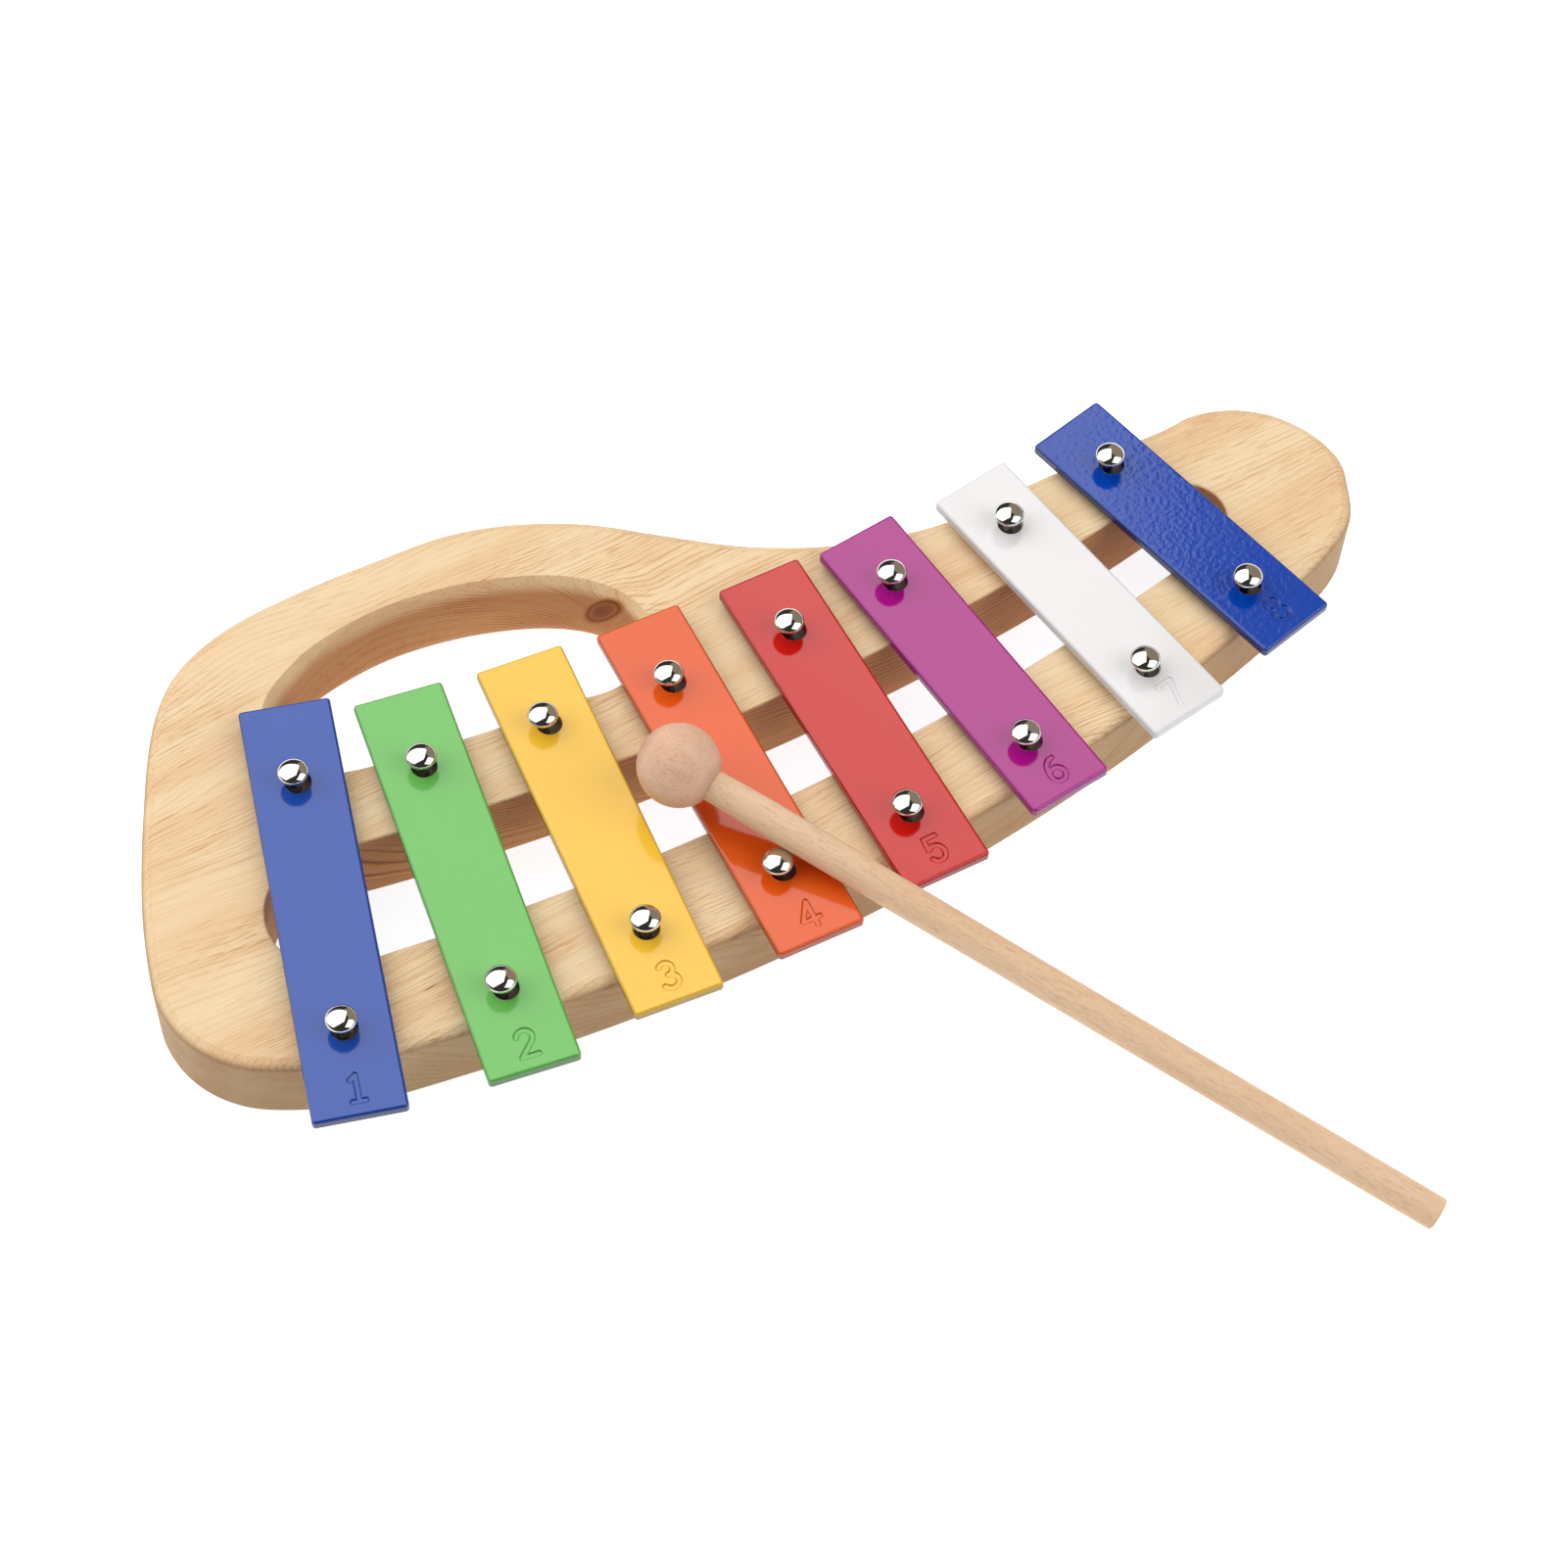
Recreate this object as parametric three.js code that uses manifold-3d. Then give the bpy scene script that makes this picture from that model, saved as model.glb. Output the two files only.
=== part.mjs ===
// Glockenspiel for children: eight painted metal bars lie loose on domed nails over a pine board with a
// long sounding slot and a hand hole, and a wooden mallet lies across them.
// Millimetres, +Z up. +X runs along the row of bars from low to high, +Y from the player to the hand hole.
// The origin is the middle of the board's plan, on the face that it rests on.

import * as THREE from "three";
import { mergeVertices } from "three/addons/utils/BufferGeometryUtils.js";
import Module from "manifold-3d";

const wasm = await Module();
wasm.setup();

// Tone bars
const barWidth = 25;
const barThickness = 3;
const barSpacing = 13.1;
const barEdgeRadius = 0.6;
const barCornerWall = 0.9;
const fanDegrees = 14.3;
const lowCLength = 127;
const dLength = 121.5;
const eLength = 115;
const fLength = 112;
const gLength = 108;
const aLength = 101.5;
const bLength = 96.5;
const highCLength = 93;

// Nails, and the felt washers round them
const clearance = 0.3;
const nailRadius = 1.4;
const nailTipLength = 3;
const nailHeadLip = 0.75;
const nailHeadHeight = 2.5;
const nailRimHeight = 0.4;
const barPlay = 1.75;
const barLift = 4.5;
const feltThickness = 2.5;
const feltSeatWidth = 1.1;

// Board
const boardThickness = 26;
const boreFloor = 8;
const outerRoundOver = 3;
const lowEndMargin = 7;
const middleMargin = 8.8;
const highEndMargin = 7.1;
const lowLobeRadius = 32.7;
const highLobeRadius = 33;
const waistMargin = 13;

// Sounding slot
const slotLowWidth = 35;
const slotHighWidth = 22.6;

// Hand hole, and the handle round it
const handHoleHalf = 54;
const handHoleDepth = 45.4;
const handHoleFlare = 2.4;
const handHoleFlareHeight = 6;
const gripWidth = 19.6;
const handleSideWidth = 32.5;
const upperRailWidth = 24.5;

// Mallet
const malletHeadRadius = 11.25;
const malletBoreDepth = 14;
const malletReach = 229.5;
const malletOverhang = 2.3;
const malletSetForward = 0.6;
const stickRadius = 4.7;
const stickEndRadius = 4.55;
const stickNeckRadius = 4.4;
const stickNeckLength = 16;

// Cutters run past the faces that they cut.
const overrun = 2;

// Sides and steps of the round forms
const nailSides = 12;
const feltSides = 14;
const boreSides = 12;
const barHoleSides = 18;
const stickSides = 20;
const ballSides = 32;
const ballSteps = 14;
const roundOverSteps = 3;
const outlineSteps = 3;
const cornerSteps = 3;
const slotSteps = 20;
const slotEndSteps = 8;

// Sizes that follow from the ones above
const barCornerRadius = barEdgeRadius + barCornerWall;
const barPitch = barWidth + barSpacing;
const barHoleRadius = nailRadius + barPlay + clearance;
const nailHeadRadius = barHoleRadius + nailHeadLip;
const feltBoreRadius = nailRadius + clearance;
const feltRadius = barHoleRadius + barPlay + feltSeatWidth;
const barUnderside = boardThickness + feltThickness;
const barTop = barUnderside + barThickness;
const nailHeadUnderside = barTop + barLift + clearance;

// The eight bars from low to high. Each bar's turn is a share of the fan's angle. Its nails stand at a share
// of its length from its middle, and the bar has slid to the right on them by a share of its play.
const bars = [
  { note: "c_low", length: lowCLength, colour: 0x1f3fa3, turnShare: -1, nailShare: 0.3, slideShares: [0.55, 0.31] },
  { note: "d", length: dLength, colour: 0x53b54a, turnShare: -0.5, nailShare: 0.295, slideShares: [0.33, 0.67] },
  { note: "e", length: eLength, colour: 0xf4c21f, turnShare: -0.26, nailShare: 0.3, slideShares: [1, 0.15] },
  { note: "f", length: fLength, colour: 0xf0642a, turnShare: -0.02, nailShare: 0.295, slideShares: [0.85, 1] },
  { note: "g", length: gLength, colour: 0xc4202f, turnShare: 0.075, nailShare: 0.305, slideShares: [0.95, 0.85] },
  { note: "a", length: aLength, colour: 0xa01f86, turnShare: 0.51, nailShare: 0.31, slideShares: [0.86, 1] },
  { note: "b", length: bLength, colour: 0xf2f2f2, turnShare: 0.705, nailShare: 0.31, slideShares: [0.52, 0.94] },
  { note: "c_high", length: highCLength, colour: 0x17389b, turnShare: 1, nailShare: 0.295, slideShares: [0.78, 0.8] },
];
const [barC, , , barF, barG, , barB, barHighC] = bars;

// Each step from a bar's middle to the next one's: its length as a share of the pitch, and its direction as
// a share of the fan's angle.
const stepShares = [
  [1, -0.94],
  [1, -0.13],
  [1, -0.13],
  [1, 0.1],
  [0.955, 0.45],
  [1.045, 0.48],
  [1.015, 0.9],
];

// Materials
const pine = new THREE.MeshStandardMaterial({ color: 0xe8c896, roughness: 0.65, metalness: 0 });
const beech = new THREE.MeshStandardMaterial({ color: 0xd3b08c, roughness: 0.6, metalness: 0 });
const nickel = new THREE.MeshStandardMaterial({ color: 0xc8c4bd, roughness: 0.12, metalness: 1 });
const felt = new THREE.MeshStandardMaterial({ color: 0xe9e6df, roughness: 0.95, metalness: 0 });
const paint = (color) => new THREE.MeshStandardMaterial({ color, roughness: 0.2, metalness: 0.1 });

// A vector in the plan from its angle to +X.
function heading(angle, length) {
  return new THREE.Vector2(Math.cos(angle), Math.sin(angle)).multiplyScalar(length);
}

// A point in the plan from a bar's middle: so far across the bar and so far along it.
function onBar(bar, across, along) {
  return new THREE.Vector2(across, along).rotateAround(new THREE.Vector2(), bar.turn).add(bar.middle);
}

// The place on a bar's centre line where its nail stands when the bar isn't slid aside.
// The side is 1 for the far nail and -1 for the near one.
function nailLine(bar, side, beyond) {
  return onBar(bar, 0, side * (bar.nailShare * bar.length + beyond));
}

// The arc through three points, as a function from 0 to 1.
function arcThrough(start, middle, end) {
  const first = middle.clone().sub(start);
  const second = end.clone().sub(start);
  const twist = 2 * first.cross(second);
  const centre = new THREE.Vector2(
    second.y * first.lengthSq() - first.y * second.lengthSq(),
    first.x * second.lengthSq() - second.x * first.lengthSq(),
  )
    .divideScalar(twist)
    .add(start);
  const sweep = 2 * Math.atan2(second.cross(first), second.clone().sub(first).dot(first));
  return (share) => start.clone().rotateAround(centre, -sweep * share);
}

// A closed smooth curve through a few points, in short straight sides.
function smoothOutline(points) {
  const curve = new THREE.CatmullRomCurve3(
    points.map((point) => new THREE.Vector3(point.x, point.y, 0)),
    true,
    "centripetal",
  );
  const dense = curve.getPoints(points.length * outlineSteps).slice(0, -1);
  return dense.map((point) => new THREE.Vector2(point.x, point.y));
}

// A closed outline moved outwards, corner by corner.
function grown(outline, distance) {
  return outline.map((point, i) => {
    const before = point.clone().sub(outline.at(i - 1)).normalize();
    const after = outline[(i + 1) % outline.length].clone().sub(point).normalize();
    const outwards = new THREE.Vector2(before.y + after.y, -before.x - after.x).normalize();
    const spread = outwards.x * after.y - outwards.y * after.x;
    return point.clone().addScaledVector(outwards, distance / spread);
  });
}

// A closed solid skinned over level rings with the same number of points, from the lowest to the highest.
function solidFromRings(rings) {
  const count = rings[0].outline.length;
  const places = rings.flatMap(({ outline, z }) => outline.flatMap((point) => [point.x, point.y, z]));
  const faces = [];
  for (let ring = 0; ring < rings.length - 1; ring++) {
    for (let i = 0; i < count; i++) {
      const here = ring * count + i;
      const next = ring * count + ((i + 1) % count);
      faces.push(here, next, next + count, here, next + count, here + count);
    }
  }
  const top = count * (rings.length - 1);
  for (const [a, b, c] of THREE.ShapeUtils.triangulateShape(rings[0].outline, [])) faces.push(c, b, a);
  for (const [a, b, c] of THREE.ShapeUtils.triangulateShape(rings.at(-1).outline, [])) {
    faces.push(top + a, top + b, top + c);
  }
  const geometry = new THREE.BufferGeometry();
  geometry.setAttribute("position", new THREE.Float32BufferAttribute(places, 3));
  geometry.setIndex(faces);
  return geometry;
}

// Steps of an arc that leaves a vertical wall smoothly and meets the level face in an edge: how far it has
// left the wall, and how far up.
function flaredArc(width, height, steps) {
  const sweep = 2 * Math.atan(width / height);
  const radius = height / Math.sin(sweep);
  return Array.from({ length: steps + 1 }, (_, i) => {
    const angle = sweep * (i / steps);
    return { inset: radius * (1 - Math.cos(angle)), rise: radius * Math.sin(angle) };
  });
}

// Quarter-round steps from a vertical wall to a level face: how far in from the wall, and how far up.
function quarterRound(radius, steps) {
  return Array.from({ length: steps + 1 }, (_, i) => {
    const angle = (Math.PI / 2) * (i / steps);
    return { inset: radius * (1 - Math.cos(angle)), rise: radius * Math.sin(angle) };
  });
}

// A solid of revolution that stands on +Z, from a profile of radii and heights.
function turned(profile, sides) {
  const points = profile.map(([radius, height]) => new THREE.Vector2(radius, height));
  return new THREE.LatheGeometry(points, sides).rotateX(Math.PI / 2);
}

function cylinder(radius, bottom, top, sides) {
  return turned([[0, bottom], [radius, bottom], [radius, top], [0, top]], sides);
}

function solidOf(geometry) {
  const bare = geometry.clone();
  bare.deleteAttribute("normal");
  bare.deleteAttribute("uv");
  const merged = mergeVertices(bare);
  const vertProperties = merged.getAttribute("position").array;
  const triVerts = new Uint32Array(merged.index.array);
  return new wasm.Manifold(new wasm.Mesh({ numProp: 3, vertProperties, triVerts }));
}

// A geometry with others cut out of it.
function cut(geometry, cutters) {
  let solid = solidOf(geometry);
  for (const cutter of cutters) solid = solid.subtract(solidOf(cutter));
  const { vertProperties, triVerts } = solid.getMesh();
  const result = new THREE.BufferGeometry();
  result.setAttribute("position", new THREE.BufferAttribute(vertProperties, 3));
  result.setIndex(new THREE.BufferAttribute(triVerts, 1));
  result.computeVertexNormals();
  return result;
}

function pieceOf(name, geometry, material) {
  const piece = new THREE.Mesh(geometry, material);
  piece.name = name;
  return piece;
}

// The row: each bar's middle and turn. The middle between F and G is the row's own zero.
function layOutRow() {
  const fan = THREE.MathUtils.degToRad(fanDegrees);
  const place = new THREE.Vector2();
  bars.forEach((bar, i) => {
    if (i > 0) {
      const [lengthShare, directionShare] = stepShares[i - 1];
      place.add(heading(directionShare * fan, lengthShare * barPitch));
    }
    bar.middle = place.clone();
    bar.turn = bar.turnShare * fan;
  });
  const zero = barF.middle.clone().add(barG.middle).divideScalar(2);
  for (const bar of bars) bar.middle.sub(zero);
}

// The nails of a bar, which has slid aside on them by a share of its play.
function nailPlaces(bar) {
  const [farSlide, nearSlide] = bar.slideShares;
  const reach = bar.nailShare * bar.length;
  return {
    far: onBar(bar, -farSlide * barPlay, reach),
    near: onBar(bar, -nearSlide * barPlay, -reach),
  };
}

// Tone bar: a strip with rounded corners, softened top edges and two clearance holes.
function barGeometry(bar) {
  const halfWidth = barWidth / 2 - barCornerRadius;
  const halfLength = bar.length / 2 - barCornerRadius;
  const outline = [];
  const corners = [[1, -1], [1, 1], [-1, 1], [-1, -1]];
  corners.forEach(([across, along], quarter) => {
    for (let i = 0; i <= cornerSteps; i++) {
      const angle = (Math.PI / 2) * (quarter - 1 + i / cornerSteps);
      const corner = new THREE.Vector2(across * halfWidth, along * halfLength);
      outline.push(corner.add(heading(angle, barCornerRadius)));
    }
  });
  const rings = [{ outline, z: 0 }];
  for (const { inset, rise } of quarterRound(barEdgeRadius, roundOverSteps - 1)) {
    rings.push({ outline: grown(outline, -inset), z: barThickness - barEdgeRadius + rise });
  }
  const holes = [-1, 1].map((side) =>
    cylinder(barHoleRadius, -overrun, barThickness + overrun, barHoleSides)
      .translate(0, side * bar.nailShare * bar.length, 0),
  );
  return cut(solidFromRings(rings), holes);
}

// Domed nail: pointed tip, plain shank, and a head wider than the bar's hole.
function nailGeometry() {
  const tip = boreFloor + clearance;
  const rim = nailHeadUnderside + nailRimHeight;
  const profile = [
    [0, tip],
    [nailRadius, tip + nailTipLength],
    [nailRadius, nailHeadUnderside],
    [nailHeadRadius - nailRimHeight / 2, nailHeadUnderside],
  ];
  const domeSteps = 4;
  for (let i = 0; i <= domeSteps; i++) {
    const angle = (Math.PI / 2) * (i / domeSteps);
    const radius = i < domeSteps ? nailHeadRadius * Math.cos(angle) : 0;
    profile.push([radius, rim + (nailHeadHeight - nailRimHeight) * Math.sin(angle)]);
  }
  return turned(profile, nailSides);
}

// Felt washer: a flat ring round the nail, under the bar.
function feltGeometry() {
  const profile = [
    [feltBoreRadius, 0],
    [feltRadius, 0],
    [feltRadius, feltThickness],
    [feltBoreRadius, feltThickness],
    [feltBoreRadius, 0],
  ];
  return turned(profile, feltSides);
}

// The slot's centre line and its half width, from its low end to its high end.
function slotLine() {
  const lowEndShares = [0.1, 0.03];
  const middleShares = [0, 0.165];
  const highEndShares = [0.273, 0.115];
  const low = onBar(barC, lowEndShares[0] * barWidth, lowEndShares[1] * barWidth);
  const middle = new THREE.Vector2(middleShares[0] * barWidth, middleShares[1] * barWidth);
  const high = onBar(barHighC, highEndShares[0] * barWidth, highEndShares[1] * barWidth);
  const at = arcThrough(low, middle, high);
  const halfWidth = (share) => THREE.MathUtils.lerp(slotLowWidth, slotHighWidth, share) / 2;
  const nudge = 0.01;
  const direction = (share) => at(share + nudge).sub(at(share - nudge)).angle();
  // A point beside the centre line, at an angle from its direction.
  const beside = (share, angle, distance) => at(share).add(heading(direction(share) + angle, distance));
  return { at, halfWidth, beside };
}

// The slot's outline: two long sides and two round ends.
function slotOutline(slot) {
  const outline = [];
  const quarter = Math.PI / 2;
  for (let i = 0; i <= slotSteps; i++) {
    const share = i / slotSteps;
    outline.push(slot.beside(share, -quarter, slot.halfWidth(share)));
  }
  for (let i = 1; i < slotEndSteps; i++) {
    outline.push(slot.beside(1, -quarter + Math.PI * (i / slotEndSteps), slot.halfWidth(1)));
  }
  for (let i = slotSteps; i >= 0; i--) {
    const share = i / slotSteps;
    outline.push(slot.beside(share, quarter, slot.halfWidth(share)));
  }
  for (let i = 1; i < slotEndSteps; i++) {
    outline.push(slot.beside(0, quarter + Math.PI * (i / slotEndSteps), slot.halfWidth(0)));
  }
  return outline;
}

// The upper rail's far edge, at a place along the row: the rail keeps its width along the slot's far side.
function railEdge(slot, alongRow) {
  const low = slot.at(0);
  const high = slot.at(1);
  const share = (alongRow - low.x) / (high.x - low.x);
  return slot.beside(share, Math.PI / 2, slot.halfWidth(share) + upperRailWidth);
}

// The hand hole stands on the upper rail, between D and E.
function handHoleBase(slot) {
  const alongRowShare = -1.837;
  const alongRow = alongRowShare * barPitch;
  return new THREE.Vector2(alongRow, railEdge(slot, alongRow).y);
}

// The hand hole's outline: a D whose flat side follows the slot.
function handHoleOutline(slot, base) {
  const archShares = [
    [0.907, 0.1], [0.995, 0.286], [0.954, 0.474], [0.863, 0.617], [0.746, 0.729], [0.565, 0.839],
    [0.27, 0.947], [-0.04, 1], [-0.263, 0.996], [-0.548, 0.936], [-0.681, 0.872], [-0.896, 0.698],
    [-0.98, 0.41], [-0.925, 0.25], [-0.8, 0.145],
  ];
  const arch = archShares.map(([across, up]) =>
    new THREE.Vector2(base.x + across * handHoleHalf, base.y + up * handHoleDepth),
  );
  const flatShares = [-0.7, -0.4, -0.1, 0.2, 0.5, 0.72];
  const flat = flatShares.map((across) => railEdge(slot, base.x + across * handHoleHalf));
  return smoothOutline([...arch, ...flat]);
}

// The board's outline: the near edge follows the near nails, a round lobe closes each end, and the handle
// swells out round the hand hole.
function boardOutline(base) {
  const lowAnchor = nailLine(barC, -1, lowEndMargin);
  const highAnchor = nailLine(barHighC, -1, highEndMargin);
  const middleAnchor = nailLine(barF, -1, middleMargin)
    .add(nailLine(barG, -1, middleMargin))
    .divideScalar(2);
  const edge = arcThrough(lowAnchor, middleAnchor, highAnchor);
  const edgeShares = [0, 0.1, 0.25, 0.4, 0.55, 0.7, 0.85, 1, 1.085];
  const nearEdge = edgeShares.map((share) => edge(share));

  const highLobeShares = [0.707, -0.085];
  const highCentre = onBar(barHighC, highLobeShares[0] * highLobeRadius, highLobeShares[1] * highLobeRadius);
  const highCornerShares = [[0.74, -0.58], [0.93, -0.23]];
  const highCorner = highCornerShares.map(([x, y]) =>
    highCentre.clone().add(new THREE.Vector2(x * highLobeRadius, y * highLobeRadius)),
  );
  const highArcDegrees = [0, 20, 43, 64, 84, 104];
  const highLobe = highArcDegrees.map((degrees) =>
    heading(THREE.MathUtils.degToRad(degrees), highLobeRadius).add(highCentre),
  );

  const waist = nailLine(barB, 1, waistMargin);
  const shoulderShares = [[0.57, 0.04], [-0.36, 0.01], [-0.65, 0.055]];
  const [afterLobe, beforeHandle, handleRoot] = shoulderShares.map(([x, y]) =>
    waist.clone().add(new THREE.Vector2(x * barPitch, y * barPitch)),
  );

  const handleHalf = handHoleHalf + handleSideWidth;
  const handleDepth = handHoleDepth + gripWidth;
  const handleShares = [
    [1.309, 0.205], [1.055, 0.368], [0.846, 0.565], [0.637, 0.769], [0.406, 0.915], [0.2, 0.982],
    [-0.01, 0.991], [-0.36, 0.981], [-0.6, 0.935], [-0.781, 0.828], [-0.886, 0.693], [-0.973, 0.512],
    [-1.068, 0.251], [-1.137, 0.045], [-1.212, -0.213],
  ];
  const handle = handleShares.map(([across, up]) =>
    new THREE.Vector2(base.x + across * handleHalf, base.y + up * handleDepth),
  );

  const lowLobeShares = [-0.436, -0.314];
  const lowCentre = onBar(barC, lowLobeShares[0] * lowLobeRadius, lowLobeShares[1] * lowLobeRadius);
  const lowArcDegrees = [162, 178, 194, 210, 226, 242];
  const lowLobe = lowArcDegrees.map((degrees) =>
    heading(THREE.MathUtils.degToRad(degrees), lowLobeRadius).add(lowCentre),
  );

  return smoothOutline([
    ...nearEdge, ...highCorner, ...highLobe, afterLobe, waist, beforeHandle, handleRoot, ...handle, ...lowLobe,
  ]);
}

// Board: rounded outer edges, the slot, the hand hole with its softened edges, and a blind bore per nail.
function boardGeometry(outline, slot, base) {
  const steps = quarterRound(outerRoundOver, roundOverSteps);
  const below = steps.map(({ inset, rise }) => ({
    outline: grown(outline, -inset),
    z: outerRoundOver - rise,
  }));
  const above = steps.map(({ inset, rise }) => ({
    outline: grown(outline, -inset),
    z: boardThickness - outerRoundOver + rise,
  }));
  const body = solidFromRings([...below.reverse(), ...above]);

  const slotSides = slotOutline(slot);
  const slotCutter = solidFromRings([
    { outline: slotSides, z: -overrun },
    { outline: slotSides, z: boardThickness + overrun },
  ]);

  const hole = handHoleOutline(slot, base);
  const flare = flaredArc(handHoleFlare, handHoleFlareHeight, roundOverSteps);
  const flareBelow = flare.map(({ inset, rise }) => ({ outline: grown(hole, inset), z: handHoleFlareHeight - rise }));
  const flareAbove = flare.map(({ inset, rise }) => ({
    outline: grown(hole, inset),
    z: boardThickness - handHoleFlareHeight + rise,
  }));
  const mouth = grown(hole, handHoleFlare);
  const holeCutter = solidFromRings([
    { outline: mouth, z: -overrun },
    ...flareBelow.reverse(),
    ...flareAbove,
    { outline: mouth, z: boardThickness + overrun },
  ]);

  const bores = bars.flatMap((bar) =>
    Object.values(nailPlaces(bar)).map((place) =>
      cylinder(nailRadius + clearance, boreFloor, boardThickness + overrun, boreSides)
        .translate(place.x, place.y, 0),
    ),
  );
  return cut(body, [slotCutter, holeCutter, ...bores]);
}

// Mallet head: a ball with a blind bore for the stick. The mallet's axis is its own +Z, from the ball's
// middle to the stick's end.
function malletHeadGeometry() {
  const boreRadius = stickNeckRadius + clearance;
  const mouth = Math.asin(boreRadius / malletHeadRadius);
  const profile = [];
  for (let i = 0; i <= ballSteps; i++) {
    const angle = Math.PI - (Math.PI - mouth) * (i / ballSteps);
    const radius = i > 0 ? malletHeadRadius * Math.sin(angle) : 0;
    profile.push([radius, malletHeadRadius * Math.cos(angle)]);
  }
  const floor = malletHeadRadius - malletBoreDepth;
  profile.push([boreRadius, floor], [0, floor]);
  return turned(profile, ballSides);
}

// Mallet stick: a turned stick, thickest a little way from the ball, with its thinner neck glued into it.
function malletStickGeometry() {
  const start = malletHeadRadius - malletBoreDepth + clearance;
  const profile = [
    [0, start],
    [stickNeckRadius, start],
    [stickNeckRadius, malletHeadRadius],
    [stickRadius, malletHeadRadius + stickNeckLength],
    [stickEndRadius, malletReach],
    [0, malletReach],
  ];
  return turned(profile, stickSides);
}

// How high the stick's axis stands over a nail head's rim when the stick, beside the nail, touches its dome.
function riseOverNail(beside) {
  const domeHeight = nailHeadHeight - nailRimHeight;
  const samples = 24;
  let rise = 0;
  for (let i = 0; i <= samples; i++) {
    const angle = (Math.PI / 2) * (i / samples);
    const gap = beside - nailHeadRadius * Math.cos(angle);
    if (Math.abs(gap) < stickRadius) {
      rise = Math.max(rise, domeHeight * Math.sin(angle) + Math.sqrt(stickRadius ** 2 - gap ** 2));
    }
  }
  return rise;
}

// The mallet lies across bar F and runs out just beside bar G's near corner. The end of its stick rests on
// the surface that the board rests on, and it leans on the first thing that it meets: the head of bar F's
// near nail, the bar's side, or the bar under the ball.
function placeMallet(mallet) {
  const ball = onBar(barF, -barWidth / 2 - malletOverhang, -malletSetForward);
  const corner = onBar(barG, barCornerRadius - barWidth / 2, barCornerRadius - barG.length / 2);
  const toCorner = corner.clone().sub(ball);
  const passing = stickRadius + clearance + barCornerRadius;
  const direction = toCorner.angle() - Math.asin(passing / toCorner.length());
  const toNail = nailPlaces(barF).near.sub(ball).rotateAround(new THREE.Vector2(), -direction);
  const leanings = [
    { reach: 0, height: barTop + malletHeadRadius },
    { reach: (barWidth + malletOverhang) / Math.cos(direction - barF.turn), height: barTop + stickRadius },
    { reach: toNail.x, height: nailHeadUnderside + nailRimHeight + riseOverNail(Math.abs(toNail.y)) },
  ];
  let dip = 0;
  let endReach = 0;
  const settlingRounds = 6;
  for (let round = 0; round < settlingRounds; round++) {
    endReach = malletReach * Math.cos(dip) - stickEndRadius * Math.sin(dip);
    const slopes = leanings.map(({ reach, height }) => (height - stickRadius) / (endReach - reach));
    dip = Math.atan(Math.max(...slopes));
  }
  const endHeight = clearance + stickEndRadius * Math.cos(dip);
  mallet.position.set(ball.x, ball.y, endHeight + malletReach * Math.sin(dip));
  mallet.rotation.set(0, Math.PI / 2 + dip, direction, "ZYX");
}

layOutRow();
const slot = slotLine();
const base = handHoleBase(slot);
const outline = boardOutline(base);
const planMiddle = new THREE.Box2().setFromPoints(outline).getCenter(new THREE.Vector2());

const assembly = new THREE.Group();
assembly.position.set(-planMiddle.x, -planMiddle.y, 0);
assembly.add(pieceOf("board", boardGeometry(outline, slot, base), pine));

const nailShape = nailGeometry();
const feltShape = feltGeometry();
for (const bar of bars) {
  const strip = pieceOf(`bar_${bar.note}`, barGeometry(bar), paint(bar.colour));
  strip.position.set(bar.middle.x, bar.middle.y, barUnderside);
  strip.rotation.z = bar.turn;
  assembly.add(strip);
  for (const [end, place] of Object.entries(nailPlaces(bar))) {
    const nail = pieceOf(`nail_${bar.note}_${end}`, nailShape, nickel);
    nail.position.set(place.x, place.y, 0);
    const washer = pieceOf(`felt_${bar.note}_${end}`, feltShape, felt);
    washer.position.set(place.x, place.y, boardThickness);
    assembly.add(nail, washer);
  }
}

const mallet = new THREE.Group();
mallet.add(pieceOf("mallet_head", malletHeadGeometry(), beech));
mallet.add(pieceOf("mallet_stick", malletStickGeometry(), beech));
placeMallet(mallet);
assembly.add(mallet);

const glockenspiel = new THREE.Group();
glockenspiel.add(assembly);

export default glockenspiel;
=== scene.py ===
# Glockenspiel for children: eight painted metal bars lie loose on domed nails over a pine board with a
# long sounding slot and a hand hole, and a wooden mallet lies across them.
# The frame is the part's own, in metres: +X along the row of bars from low to high, +Y from the player to
# the hand hole, +Z up from the table. Sizes are written in millimetres and angles in degrees, and a piece is
# turned to metres as it is made. Only the studio, at the end, is written in metres.

import math

import bpy
import numpy as np
from mathutils import Matrix, Vector, geometry


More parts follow.
